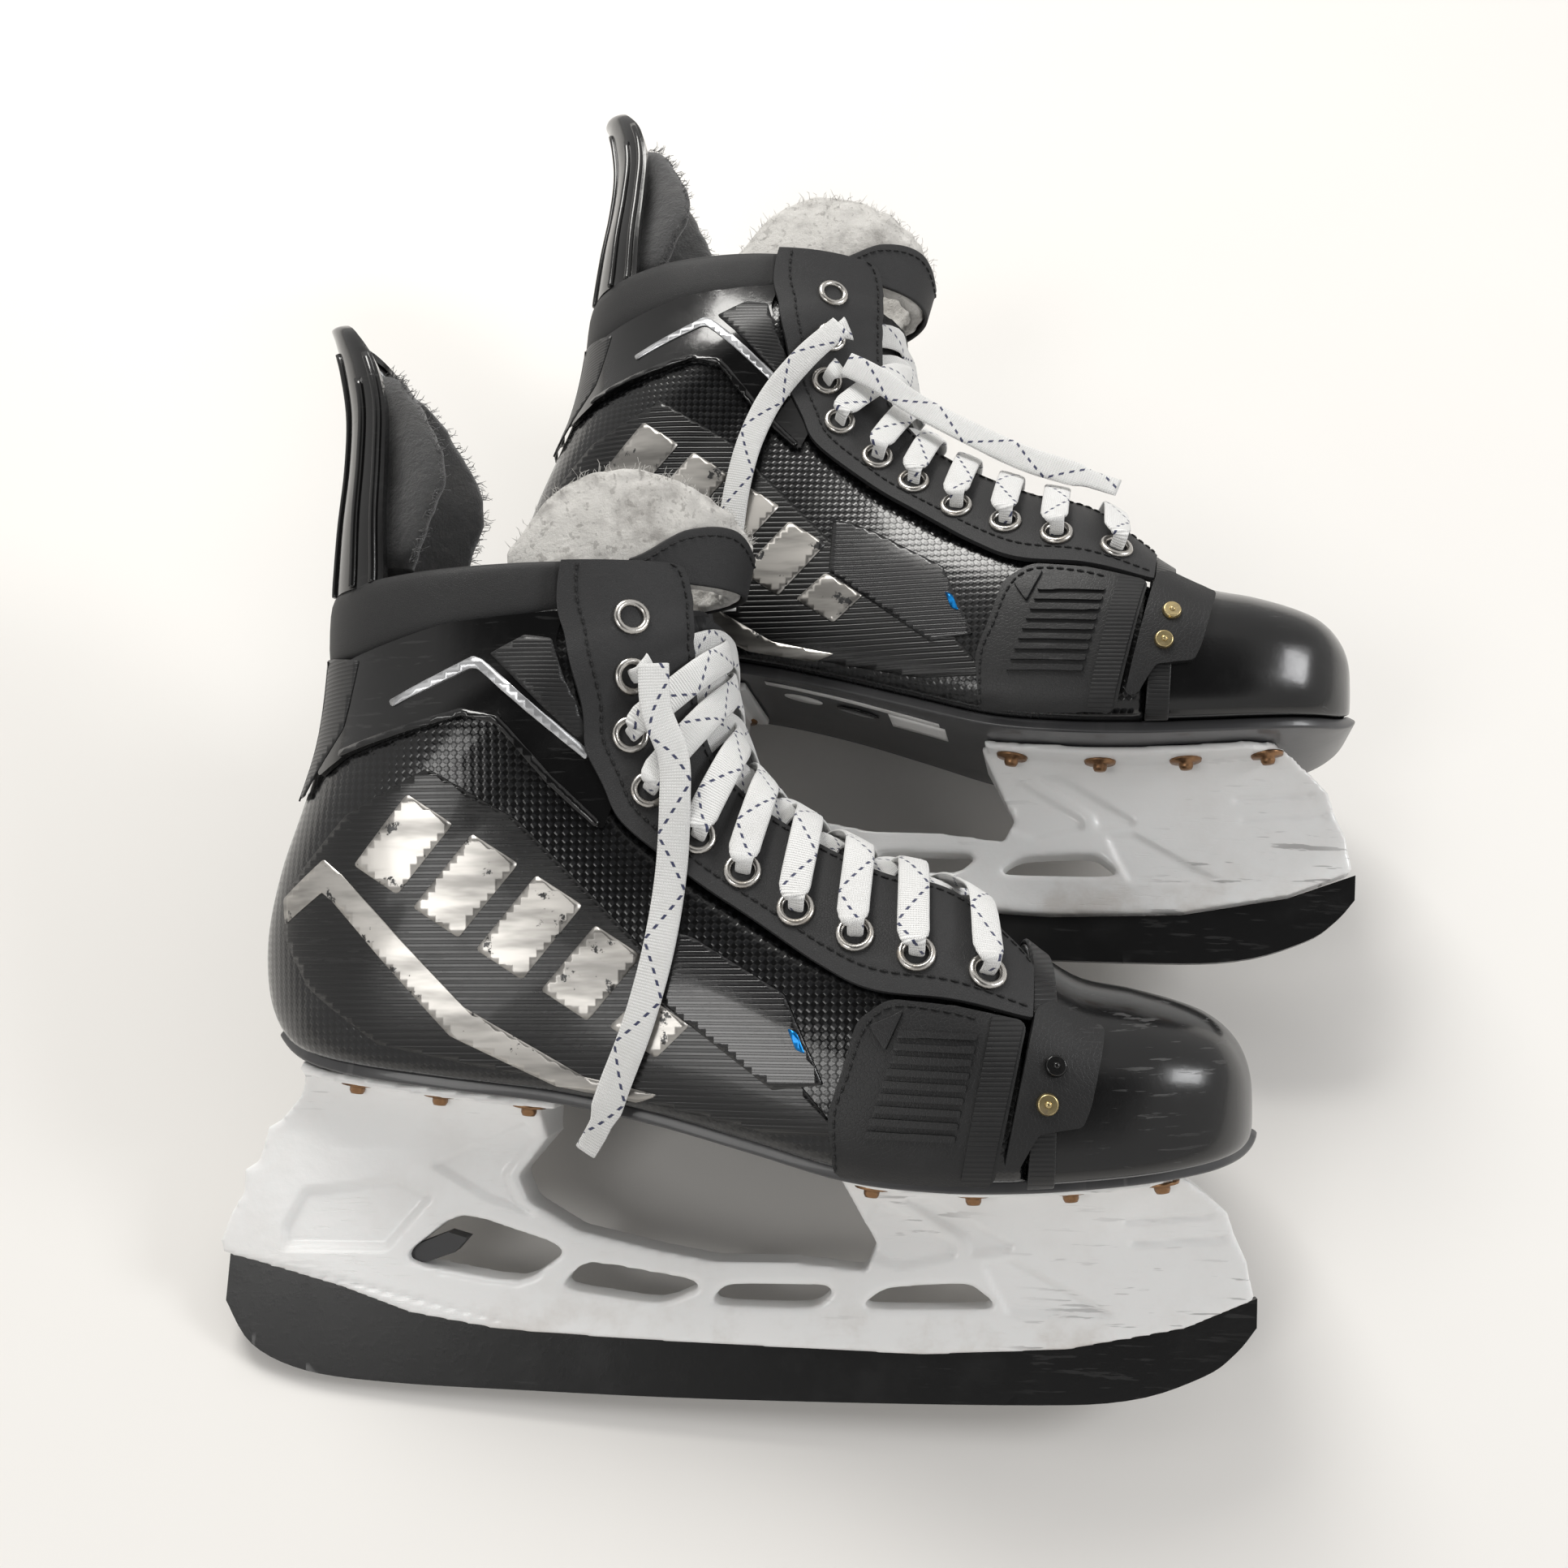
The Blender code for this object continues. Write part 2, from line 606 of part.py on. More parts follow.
def eyelets(skate, side, name):
    """Ten eyelets on the strip that backs them."""
    top = FACING_LIFT - STRIP_DROP
    face = FACING_LIFT + FACING_WALL + EYELET_LIFT

    def strip_edge(sign):
        rows = []
        for u in spaced(22.0, 7.25, 30):
            v = eyelet_v(u)
            rate = (on_section(u, v, 1) - on_section(u, v - 0.02, 1)).length / 0.02
            rows.append((u, v + sign * STRIP_WIDTH / 2 / rate))
        return rows

    low, high = strip_edge(-1), strip_edge(1)

    def grid(out):
        return [[skin(a[0], v, side, out) for v in (a[1], b[1])] for a, b in zip(low, high)]

    obj = skate.add(f"eyelets_{name}", slab(grid(top), grid(top - STRIP_WALL)), "black_steel")
    skate.tool(obj, f"eyelet_barrels_{name}", eyelet_posts(side, EYELET_BARREL, top - STRIP_WALL - 0.0002, face + 0.0003), "UNION")
    skate.tool(obj, f"eyelet_rims_{name}", eyelet_posts(side, EYELET_RIM, face, face + EYELET_RIM_WALL), "UNION")
    skate.tool(obj, f"eyelet_bores_{name}", eyelet_posts(side, EYELET_BORE, -0.006, 0.01))


def overlays(skate, side, name):
    bm = between(GUARD_LOWER, GUARD_UPPER, side, OVERLAY_LIFT + GUARD_WALL, OVERLAY_LIFT, 5, 5)
    skate.add(f"forefoot_guard_{name}", bm, "black_rubber")
    bm = between(WING_LOWER, WING_UPPER, side, OVERLAY_LIFT + WING_WALL, OVERLAY_LIFT, 9, 2)
    skate.add(f"ankle_wing_{name}", bm, "black_gloss")
    base = TOE_CAP_PROUD + OVERLAY_LIFT
    bm = between(CLIP_LOWER, CLIP_UPPER, side, base + WING_WALL, base, 4, 4)
    skate.add(f"toe_clip_{name}", bm, "black_rubber")


def collar_pad(skate):
    def row(u, out):
        front = v_at(u, COLLAR_FRONT)
        down = [skin(u, v, LATERAL, out) for v in spaced(front, -1, 8)]
        up = [skin(u, v, MEDIAL, out) for v in spaced(-1, front, 8)]
        return down + up

    u_values = [22.02, 22.3, 22.7, 23]
    swell = [0, 1, 1, 0]
    outer = [row(u, COLLAR_PAD_OUT * s - 0.0002) for u, s in zip(u_values, swell)]
    inner = [row(u, -COLLAR_PAD_IN + 0.002 * (1 - s)) for u, s in zip(u_values, swell)]
    skate.add("collar_pad", slab(outer, inner), "charcoal_leather")


def tongue(skate):
    outer = -TONGUE_DROP
    inner = outer - TONGUE_WALL

    def row(u, out):
        edge = v_at(u, 0.80)
        return [skin(u, v, LATERAL, out) for v in spaced(edge, 2 - edge, 7)]

    u_values = spaced(8, 21, 14)
    skate.add("tongue_lower", slab([row(u, outer) for u in u_values], [row(u, inner) for u in u_values]), "lining")

    pivot = at(*TONGUE_PIVOT)

    def arc(angle, height, out):
        lean = (height - TONGUE_FOOT) * TONGUE_LEAN
        x = TONGUE_AXIS * GRID.x + (TONGUE_REACH + lean) * GRID.x * cos(angle) + out * cos(angle)
        return Vector((x, TONGUE_HALF * GRID.y * sin(angle) + out * sin(angle), height * GRID.z))

    def sheet(tops, foot, out, count, rows):
        angles = spaced(tops[0][0], tops[-1][0], count)
        return [
            [arc(radians(a), foot + (straight(tops, a)[0] - foot) * t, out) for a in angles]
            for t in spaced(0, 1, rows)
        ]

    felt = slab(sheet(TONGUE_TOP, TONGUE_FOOT, 0, 17, 3), sheet(TONGUE_TOP, TONGUE_FOOT, -FELT_WALL, 17, 3))
    skate.add("tongue_upper", felt, "felt", pivot)
    lift = GAP + 0.0002
    cover = slab(
        sheet(COVER_TOP, TONGUE_FOOT + 1, lift + COVER_WALL, 13, 2), sheet(COVER_TOP, TONGUE_FOOT + 1, lift, 13, 2)
    )
    skate.add("tongue_cover", cover, "charcoal_leather", pivot)


def bow(table, inset=0.0, steps=9):
    """A curved shell's grid from rows of height, back, wrap and half width."""
    rows = []
    for height, back, wrap_depth, half in table:
        row = []
        for angle in spaced(-pi / 2, pi / 2, steps):
            depth = max(wrap_depth * GRID.x - inset, 0.001)
            width = max(half * GRID.y - inset, 0.001)
            x = back * GRID.x + inset + depth * (1 - cos(angle))
            row.append(Vector((x, width * sin(angle), height * GRID.z)))
        rows.append(row)
    return rows


def tendon_guard(skate):
    pivot = at(*TENDON_PIVOT)
    skate.add("tendon_guard", slab(bow(TENDON), bow(TENDON, TENDON_WALL)), "black_gloss", pivot)
    pad = slab(bow(TENDON_PAD, 0, 7), bow(TENDON_PAD, TENDON_PAD_WALL, 7))
    skate.add("tendon_pad", pad, "lining", pivot)


def holder_half(z):
    return HOLDER_HALF_FOOT + (z - 0.015) * HOLDER_SPREAD


def raised(points, rise):
    return [(x, z + rise / GRID.z) for x, z in points]


def sole_line(u_values, out):
    found = []
    for u in u_values:
        point = sole_point(u, 0, out)
        found.append((point.x / GRID.x, point.z / GRID.z))
    return found


def holder(skate):
    top = GAP * 4 + BOARD_WALL + OUTSOLE_WALL
    front_top = sole_line([4.2, 5, 6, 7, 8, 9.15], top + FLANGE_WALL / 2)
    rear_top = sole_line([12.3, 13, 14, 14.95], top + FLANGE_WALL / 2)
    outline = HOLDER_FOOT + HOLDER_NOSE + front_top + HOLDER_SADDLE + rear_top + HOLDER_HEEL
    obj = skate.add("holder", plate(outline, holder_half, WINDOWS), "white_plastic")
    front = sole_plate(FRONT_FLANGE, top, top + FLANGE_WALL, 8)
    rear = sole_plate(REAR_FLANGE, top, top + FLANGE_WALL, 6)
    skate.tool(obj, "holder_front_flange", front, "UNION")
    skate.tool(obj, "holder_rear_flange", rear, "UNION")
    slot_top = raised(HOLDER_FOOT, TANG_RISE + SLOT_TOP)
    slot_top[0] = (-170, slot_top[0][1] + 8)
    slot_top[-1] = (145, slot_top[-1][1] + 6)
    slot = [(-170, 0), (145, 0)] + slot_top[::-1]
    skate.tool(obj, "runner_slot", plate(slot, lambda z: TANG_WALL / 2 + SLOT_SIDE))
    skate.tool(obj, "trigger_pocket", plate(TRIGGER_POCKET, lambda z: TRIGGER_WALL / 2 + GAP))
    x, z = TRIGGER_PIVOT
    reach = Vector((0, PIN_LENGTH / 2 + 0.004, 0))
    skate.tool(obj, "pin_bore", cylinder(at(x, z) - reach, at(x, z) + reach, PIN_RADIUS + GAP, 12))
    skate.tool(obj, "holder_rivet_holes", rivet_pins(GAP, 0.02, 0))


def runner(skate):
    pivot = at(*RUNNER_PIVOT)
    top = raised(HOLDER_FOOT, -0.0004)[1:]
    top[-1] = (133.4, top[-1][1])
    bm = plate(RUNNER_EDGE + top[::-1], lambda z: RUNNER_WALL / 2)
    obj = skate.add("runner", bm, "black_steel", pivot)
    foot = raised(HOLDER_FOOT, -0.002)[1:]
    head = raised(HOLDER_FOOT, TANG_RISE)[1:]
    foot[0], head[0] = (-152, foot[0][1] - 0.8), (-152, head[0][1] - 0.8)
    foot[-1], head[-1] = (131, foot[-1][1]), (131, head[-1][1])
    skate.tool(obj, "runner_tang", plate(foot + head[::-1], lambda z: TANG_WALL / 2), "UNION")


def trigger(skate):
    pivot = at(*TRIGGER_PIVOT)
    obj = skate.add("trigger", plate(TRIGGER, lambda z: TRIGGER_WALL / 2), "black_rubber", pivot)
    reach = Vector((0, PIN_LENGTH, 0))
    skate.tool(obj, "trigger_bore", cylinder(pivot - reach, pivot + reach, PIN_RADIUS + GAP, 12))
    half = Vector((0, PIN_LENGTH / 2, 0))
    skate.add("trigger_pin", cylinder(pivot - half, pivot + half, PIN_RADIUS, 12), "steel")
    path = [(at(*smooth(SPRING, i / 2)), Vector((0, 1, 0)), 0.004, SPRING_WALL) for i in range(7)]
    skate.add("trigger_spring", ribbon(path), "steel")


def rivet_places():
    """Each rivet's station and how far across it is."""
    places = []
    for x, y in FRONT_RIVETS + REAR_RIVETS:
        low, high = 3.0, 16.0
        for _ in range(30):
            middle = (low + high) / 2
            if station(middle)[0].x > x * GRID.x:
                low = middle
            else:
                high = middle
        clear = holder_half(station(low)[0].z) + RIVET_HEAD + GAP
        across = max(y * GRID.y, clear)
        places += [(low, across), (low, -across)]
    return places


def rivet_pins(extra, reach, start=0.0008):
    bm = bmesh.new()
    for u, y in rivet_places():
        cylinder(sole_point(u, y, GAP + start), sole_point(u, y, reach), RIVET_SHANK + extra, 6, bm)
    return bm


def rivets(skate):
    """The rivets that hold the holder on, set in the board under the boot."""
    widths = [(4.6, 22), (14.4, 22)]
    obj = skate.add("holder_rivets", sole_plate(widths, GAP, GAP + BOARD_WALL, 22, 1), "bronze")
    under = GAP * 5 + BOARD_WALL + OUTSOLE_WALL + FLANGE_WALL
    skate.tool(obj, "rivet_shanks", rivet_pins(0, under + 0.0004, 0.0002), "UNION")
    heads = bmesh.new()
    for u, y in rivet_places():
        foot = sole_point(u, y, under)
        crown = sole_point(u, y, under + RIVET_HEAD_RISE)
        cylinder(foot, crown, RIVET_HEAD, 7, heads)
    skate.tool(obj, "rivet_heads", heads, "UNION")


def lace_chain(first_side, over, last):
    """One end of the lace from the lowest eyelet, crossing from side to side up to the last one."""
    rows = []
    side = first_side
    for row in range(len(EYELETS) - 1, last - 1, -1):
        u, height = EYELETS[row]
        v = v_at(u, height)
        rate = (on_section(u, v, 1) - on_section(u, v - 0.02, 1)).length / 0.02
        near = 0.004 / rate
        lift = FACING_LIFT + FACING_WALL + EYELET_LIFT + EYELET_RIM_WALL + 0.0020
        if row < len(EYELETS) - 1:
            rows.append((u, v + near, side, -0.0024, 1.0))
        rows.append((u, v + near * 0.15, side, -0.0026, 0.0))
        rows.append((u, v, side, 0.0010, 0.0))
        rows.append((u, v + near * 0.15, side, lift, 0.1))
        if row == last:
            rows.append((u, v + near * 1.2, side, lift, 1.0))
            break
        next_u, next_height = EYELETS[row - 1]
        next_v = v_at(next_u, next_height)
        edge = v_at(u, straight(FACING_FRONT, u)[0])
        next_edge = v_at(next_u, straight(FACING_FRONT, next_u)[0])
        rows.append((u + (next_u - u) * 0.08, v + near, side, lift, 1.0))
        rows.append((u + (next_u - u) * 0.22, edge, side, lift - 0.0006, 1.0))
        rows.append((u + (next_u - u) * 0.30, (edge + 1) / 2 + 0.05, side, 0.0022, 1.0))
        height_here = 0.0009 if over else -0.0015
        rows.append((u + (next_u - u) * 0.5, 1.0, side, height_here, 1.0))
        side = -side
        rows.append((u + (next_u - u) * 0.72, (next_edge + 1) / 2 + 0.02, side, -0.0013, 1.0))
        rows.append((u + (next_u - u) * 0.85, next_edge - 0.02, side, -0.0015, 1.0))
    return rows


def lace(skate):
    low_u, low_height = EYELETS[-1]
    low_v = v_at(low_u, low_height)
    bar = [
        (low_u - 0.10, low_v + 0.08, LATERAL, -0.0022, 1.0), (low_u - 0.16, 0.9, LATERAL, -0.0026, 1.0),
        (low_u - 0.18, 1.0, MEDIAL, -0.0024, 1.0), (low_u - 0.16, 0.9, MEDIAL, -0.0026, 1.0), (low_u - 0.10, low_v + 0.08, MEDIAL, -0.0022, 1.0),
    ]
    lateral_last, medial_last = LACE_LAST[skate.name]
    rows = lace_chain(LATERAL, True, lateral_last)[::-1] + bar + lace_chain(MEDIAL, False, medial_last)
    points = [skin(u, v, side, out) for u, v, side, out, _ in rows]
    path = []
    previous = None
    for i, (u, v, side, out, full) in enumerate(rows):
        normal = (skin(u, v, side, 0.001) - skin(u, v, side, 0)).normalized()
        far = points[min(i + 3, len(points) - 1)] - points[max(i - 3, 0)]
        near = points[min(i + 1, len(points) - 1)] - points[max(i - 1, 0)]
        flat = near - normal * near.dot(normal)
        if flat.length < 0.0015:
            flat = far - normal * far.dot(normal)
        across = normal.cross(flat).normalized()
        if full < 0.5 and previous is not None:
            across = previous
        if previous is not None and across.dot(previous) < 0:
            across.negate()
        previous = across
        width = LACE_PINCH + (LACE_WIDTH - LACE_PINCH) * full
        thickness = LACE_PINCH_THICKNESS + (LACE_THICKNESS - LACE_PINCH_THICKNESS) * full
        path.append((points[i], across, width, thickness))
    skate.add("lace", ribbon(path), "lace")


def lace_end(name, points):
    """A free end of a lace, flat side down, in world coordinates."""
    steps = (len(points) - 1) * 2
    path = []
    for i in range(steps + 1):
        point = Vector(smooth(points, i / 2))
        ahead = Vector(smooth(points, i / 2 + 0.1)) - Vector(smooth(points, i / 2 - 0.1))
        across = Vector(LACE_END_FACE).cross(ahead).normalized()
        path.append((point, across, LACE_WIDTH, LACE_THICKNESS))
    bm = ribbon(path)
    bmesh.ops.recalc_face_normals(bm, faces=bm.faces)
    mesh = bpy.data.meshes.new(name)
    bm.to_mesh(mesh)
    bm.free()
    obj = bpy.data.objects.new(name, mesh)
    bpy.context.collection.objects.link(obj)
    obj.data.materials.append(material("lace"))


def build_skate(name):
    skate = Skate(name)
    outsole(skate)
    boot_shell(skate)
    liner(skate)
    toe_cap(skate)
    footbed(skate)
    for side, word in ((LATERAL, "lateral"), (MEDIAL, "medial")):
        facing(skate, side, word)
        eyelets(skate, side, word)
        overlays(skate, side, word)
    collar_pad(skate)
    tongue(skate)
    tendon_guard(skate)
    holder(skate)
    runner(skate)
    trigger(skate)
    rivets(skate)
    lace(skate)
    return skate


def lay_down(skate):
    """Turns a skate onto its side and lowers it until it touches the floor."""
    place, turn, tilt, toe = REST[skate.name]
    on_side = Matrix(((1, 0, 0, 0), (0, 0, 1, 0), (0, -1, 0, 0), (0, 0, 0, 1)))
    pose = (
        Matrix.Translation(place)
        @ Matrix.Rotation(turn, 4, "Z")
        @ Matrix.Rotation(-toe, 4, "Y")
        @ Matrix.Rotation(tilt, 4, "X")
        @ on_side
    )
    points = [pose @ (part.matrix_local @ vert.co) for part in skate.parts for vert in part.data.vertices]
    lowest = min(point.z for point in points)
    skate.frame.matrix_world = Matrix.Translation((0, 0, -lowest)) @ pose
    return [point - Vector((0, 0, lowest)) for point in points]


def centre(skates, points):
    """Moves both skates so that the middle of their footprint is at the origin."""
    low = Vector(min(point[i] for point in points) for i in range(3))
    high = Vector(max(point[i] for point in points) for i in range(3))
    middle = (low + high) / 2
    for skate in skates:
        skate.frame.location -= Vector((middle.x, middle.y, 0))


def clear_scene():
    for obj in list(bpy.data.objects):
        bpy.data.objects.remove(obj, do_unlink=True)


def main():
    clear_scene()
    skates = [build_skate("right"), build_skate("left")]
    bpy.context.view_layer.update()
    points = [point for skate in skates for point in lay_down(skate)]
    centre(skates, points)
    for name, points in LACE_ENDS.items():
        lace_end(name, points)


main()
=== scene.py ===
# %% [markdown]
# # A pair of hockey skates
# Two laced hockey skates lie on their sides, the front one leaning on the rear one. Most of each boot
# is a thin skin wrapped round a foot, so the lesson is about drawing panels on one curved surface.
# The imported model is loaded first. It stays as it is, and every visible piece rides on its bodies.

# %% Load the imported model
from math import acos, asin, cos, pi, radians, sin

import bmesh
import bpy
from mathutils import Matrix, Vector, noise
from mathutils.bvhtree import BVHTree


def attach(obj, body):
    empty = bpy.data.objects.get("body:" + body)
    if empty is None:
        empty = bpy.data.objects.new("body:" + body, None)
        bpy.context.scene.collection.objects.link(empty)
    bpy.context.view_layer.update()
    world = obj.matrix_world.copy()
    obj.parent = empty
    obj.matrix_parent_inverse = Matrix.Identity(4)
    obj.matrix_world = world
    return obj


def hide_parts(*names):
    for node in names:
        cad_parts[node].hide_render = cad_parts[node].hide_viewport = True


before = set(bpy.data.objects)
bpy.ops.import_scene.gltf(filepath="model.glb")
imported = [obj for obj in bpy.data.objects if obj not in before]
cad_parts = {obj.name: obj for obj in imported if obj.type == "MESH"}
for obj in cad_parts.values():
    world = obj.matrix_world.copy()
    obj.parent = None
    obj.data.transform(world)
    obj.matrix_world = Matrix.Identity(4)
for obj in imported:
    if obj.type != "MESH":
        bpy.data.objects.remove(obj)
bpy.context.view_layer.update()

# %% [markdown]
# The camera looks down at 58 degrees, from a little more than half a metre. A phone's main lens is
# about 36 mm on a 36 mm wide frame. The floor is a plain sheet. The light is three soft panels and a
# white-walled room that is dark right overhead, so that black lacquer stays black where it faces up.

# %% Camera, floor and light
CAMERA_PLACE = (-0.0095, -0.3051, 0.4690)
CAMERA_TILT = 32
LENS = 36.06
FRAME_WIDTH = 36
OVERHEAD = (-0.10, -0.30, 0.95)

camera_data = bpy.data.cameras.new("camera")
camera_data.lens = LENS
camera_data.sensor_width = FRAME_WIDTH
camera_data.clip_start = 0.01
camera = bpy.data.objects.new("camera", camera_data)
camera.location = CAMERA_PLACE
camera.rotation_euler = (radians(CAMERA_TILT), 0, 0)
bpy.context.collection.objects.link(camera)
bpy.context.scene.camera = camera


def soft_panel(name, place, aim, size, power, colour):
    """A square area light that faces a point."""
    data = bpy.data.lights.new(name, "AREA")
    data.size = size
    data.energy = power
    data.color = colour
    lamp = bpy.data.objects.new(name, data)
    lamp.location = place
    lamp.rotation_euler = (Vector(aim) - Vector(place)).to_track_quat("-Z", "Y").to_euler()
    bpy.context.collection.objects.link(lamp)


soft_panel("ceiling_panel", (-0.45, 1.15, 1.35), (0, 0, 0), 0.7, 21.0, (1.0, 0.985, 0.95))
soft_panel("front_panel", (-0.75, -0.75, 1.15), (0, -0.05, 0), 0.45, 3.5, (1.0, 0.99, 0.97))
soft_panel("window_panel", (1.15, -0.05, 0.95), (0, 0, 0.05), 0.4, 6.0, (0.98, 0.99, 1.0))
world = bpy.data.worlds.new("room")
world.use_nodes = True
room = world.node_tree
where = room.nodes.new("ShaderNodeTexCoord").outputs["Generated"]
toward = room.nodes.new("ShaderNodeVectorMath")
toward.operation = "DOT_PRODUCT"
toward.inputs[1].default_value = Vector(OVERHEAD).normalized()
room.links.new(where, toward.inputs[0])
open_share = room.nodes.new("ShaderNodeMapRange")
open_share.interpolation_type = "SMOOTHSTEP"
for label, number in (("From Min", 0.74), ("From Max", 0.96), ("To Min", 0.62), ("To Max", 0.06)):
    open_share.inputs[label].default_value = number
room.links.new(toward.outputs["Value"], open_share.inputs["Value"])
room.links.new(open_share.outputs["Result"], room.nodes["Background"].inputs["Strength"])
room.nodes["Background"].inputs["Color"].default_value = (1.0, 0.985, 0.965, 1)
bpy.context.scene.world = world
bpy.context.scene.view_settings.view_transform = "Standard"

floor_bm = bmesh.new()
bmesh.ops.create_grid(floor_bm, x_segments=1, y_segments=1, size=4)
bmesh.ops.translate(floor_bm, verts=floor_bm.verts, vec=(0, 0, -0.0004))
floor_mesh = bpy.data.meshes.new("floor")
floor_bm.to_mesh(floor_mesh)
floor_bm.free()
floor = bpy.data.objects.new("floor", floor_mesh)
bpy.context.collection.objects.link(floor)

# %% [markdown]
# ## Finishes
# A finish is a Principled shader with a few shared effects on top: weave, leather grain, scuffs and
# soiling. Each effect is a node group that puts out one value, so that the same wear can sit on
# plastic, steel and leather with different strengths. Small helpers keep the node code short.


# %% Node helpers
def wire(tree, value, socket):
    """Links a socket, or sets a plain value."""
    if isinstance(value, bpy.types.NodeSocket):
        tree.links.new(value, socket)
    else:
        socket.default_value = value


def calc(tree, operation, first, second=0.5, third=0.5):
    """A Math node's result."""
    node = tree.nodes.new("ShaderNodeMath")
    node.operation = operation
    for value, socket in zip((first, second, third), node.inputs):
        wire(tree, value, socket)
    return node.outputs[0]


def ramp(tree, value, low, high, start=0.0, end=1.0):
    """Maps a value from low..high to start..end, smoothly."""
    node = tree.nodes.new("ShaderNodeMapRange")
    node.interpolation_type = "SMOOTHSTEP"
    for label, number in (("From Min", low), ("From Max", high), ("To Min", start), ("To Max", end)):
        wire(tree, number, node.inputs[label])
    wire(tree, value, node.inputs["Value"])
    return node.outputs["Result"]


def split(tree, vector):
    node = tree.nodes.new("ShaderNodeSeparateXYZ")
    wire(tree, vector, node.inputs[0])
    return node.outputs


def turned(tree, vector, turn=(0, 0, 0), scale=(1, 1, 1)):
    node = tree.nodes.new("ShaderNodeMapping")
    wire(tree, vector, node.inputs["Vector"])
    node.inputs["Rotation"].default_value = turn
    node.inputs["Scale"].default_value = scale
    return node.outputs[0]


def cloud(tree, vector, scale, detail=3.0, roughness=0.55):
    node = tree.nodes.new("ShaderNodeTexNoise")
    wire(tree, vector, node.inputs["Vector"])
    wire(tree, scale, node.inputs["Scale"])
    node.inputs["Detail"].default_value = detail
    node.inputs["Roughness"].default_value = roughness
    return node.outputs[0]


def drawn(tree, name="drawn"):
    """The place on the piece as it was drawn, before the skate was laid down."""
    node = tree.nodes.new("ShaderNodeAttribute")
    node.attribute_name = name
    return node.outputs["Vector"]


def blended(tree, mask, first, second):
    """A colour between two, by a mask."""
    node = tree.nodes.new("ShaderNodeMix")
    node.data_type = "RGBA"
    wire(tree, mask, node.inputs[0])
    wire(tree, first, node.inputs[6])
    wire(tree, second, node.inputs[7])
    return node.outputs[2]


def bumped(tree, shader, height, distance, strength=1.0):
    node = tree.nodes.new("ShaderNodeBump")
    node.inputs["Distance"].default_value = distance
    node.inputs["Strength"].default_value = strength
    tree.links.new(height, node.inputs["Height"])
    tree.links.new(node.outputs[0], shader.inputs["Normal"])


def effect(name, inputs, output, build):
    """A node group with named inputs and one named output."""
    tree = bpy.data.node_groups.new(name, "ShaderNodeTree")
    for label, kind, value in inputs:
        socket = tree.interface.new_socket(label, in_out="INPUT", socket_type=kind)
        if value is not None:
            socket.default_value = value
    tree.interface.new_socket(output, in_out="OUTPUT", socket_type="NodeSocketFloat")
    start = tree.nodes.new("NodeGroupInput")
    end = tree.nodes.new("NodeGroupOutput")
    tree.links.new(build(tree, start.outputs), end.inputs[0])
    return tree


def use(tree, made, **values):
    """Places an effect in a material and returns its output."""
    node = tree.nodes.new("ShaderNodeGroup")
    node.node_tree = made
    for label, value in values.items():
        wire(tree, value, node.inputs[label])
    return node.outputs[0]


# %% [markdown]
# The composite's skin shows a fine diagonal weave under its lacquer. Two sets of ridges that cross,
# each hidden where the other is on top, read as woven cloth at any distance.


# %% Weave, grain, scuffs, soiling and ribs
def weave_cells(tree, given):
    x, _, z = split(tree, given["Vector"])
    first = calc(tree, "SINE", calc(tree, "MULTIPLY", calc(tree, "ADD", x, z), given["Scale"]))
    second = calc(tree, "SINE", calc(tree, "MULTIPLY", calc(tree, "SUBTRACT", x, z), given["Scale"]))
    return ramp(tree, calc(tree, "MULTIPLY", first, second), -0.5, 0.6)


def leather_grain(tree, given):
    node = tree.nodes.new("ShaderNodeTexVoronoi")
    node.feature = "DISTANCE_TO_EDGE"
    wire(tree, given["Vector"], node.inputs["Vector"])
    wire(tree, given["Scale"], node.inputs["Scale"])
    fine = cloud(tree, given["Vector"], calc(tree, "MULTIPLY", given["Scale"], 2.0))
    return calc(tree, "ADD", ramp(tree, node.outputs["Distance"], 0.0, 0.12), calc(tree, "MULTIPLY", fine, 0.5))


def scuff_marks(tree, given):
    """Short scratches, kept to patches."""
    streaks = cloud(tree, turned(tree, given["Vector"], (0.2, 0.5, 0.1), (1, 1, 9)), given["Scale"], 4.0)
    across = cloud(tree, turned(tree, given["Vector"], (0.1, -0.8, 0.4), (1, 1, 12)), given["Scale"], 3.0)
    thin = calc(tree, "MAXIMUM", ramp(tree, streaks, 0.62, 0.66), ramp(tree, across, 0.64, 0.67))
    patches = ramp(tree, cloud(tree, given["Vector"], calc(tree, "MULTIPLY", given["Scale"], 0.25)), 0.45, 0.65)
    return calc(tree, "MULTIPLY", calc(tree, "MULTIPLY", thin, patches), given["Amount"])


def soiling(tree, given):
    broad = ramp(tree, cloud(tree, given["Vector"], given["Scale"], 5.0, 0.65), 0.46, 0.72)
    return calc(tree, "MULTIPLY", broad, given["Amount"])


def ribs(tree, given):
    _, _, z = split(tree, given["Vector"])
    wave = calc(tree, "SINE", calc(tree, "MULTIPLY", z, given["Scale"]))
    return ramp(tree, wave, -0.4, 0.4)


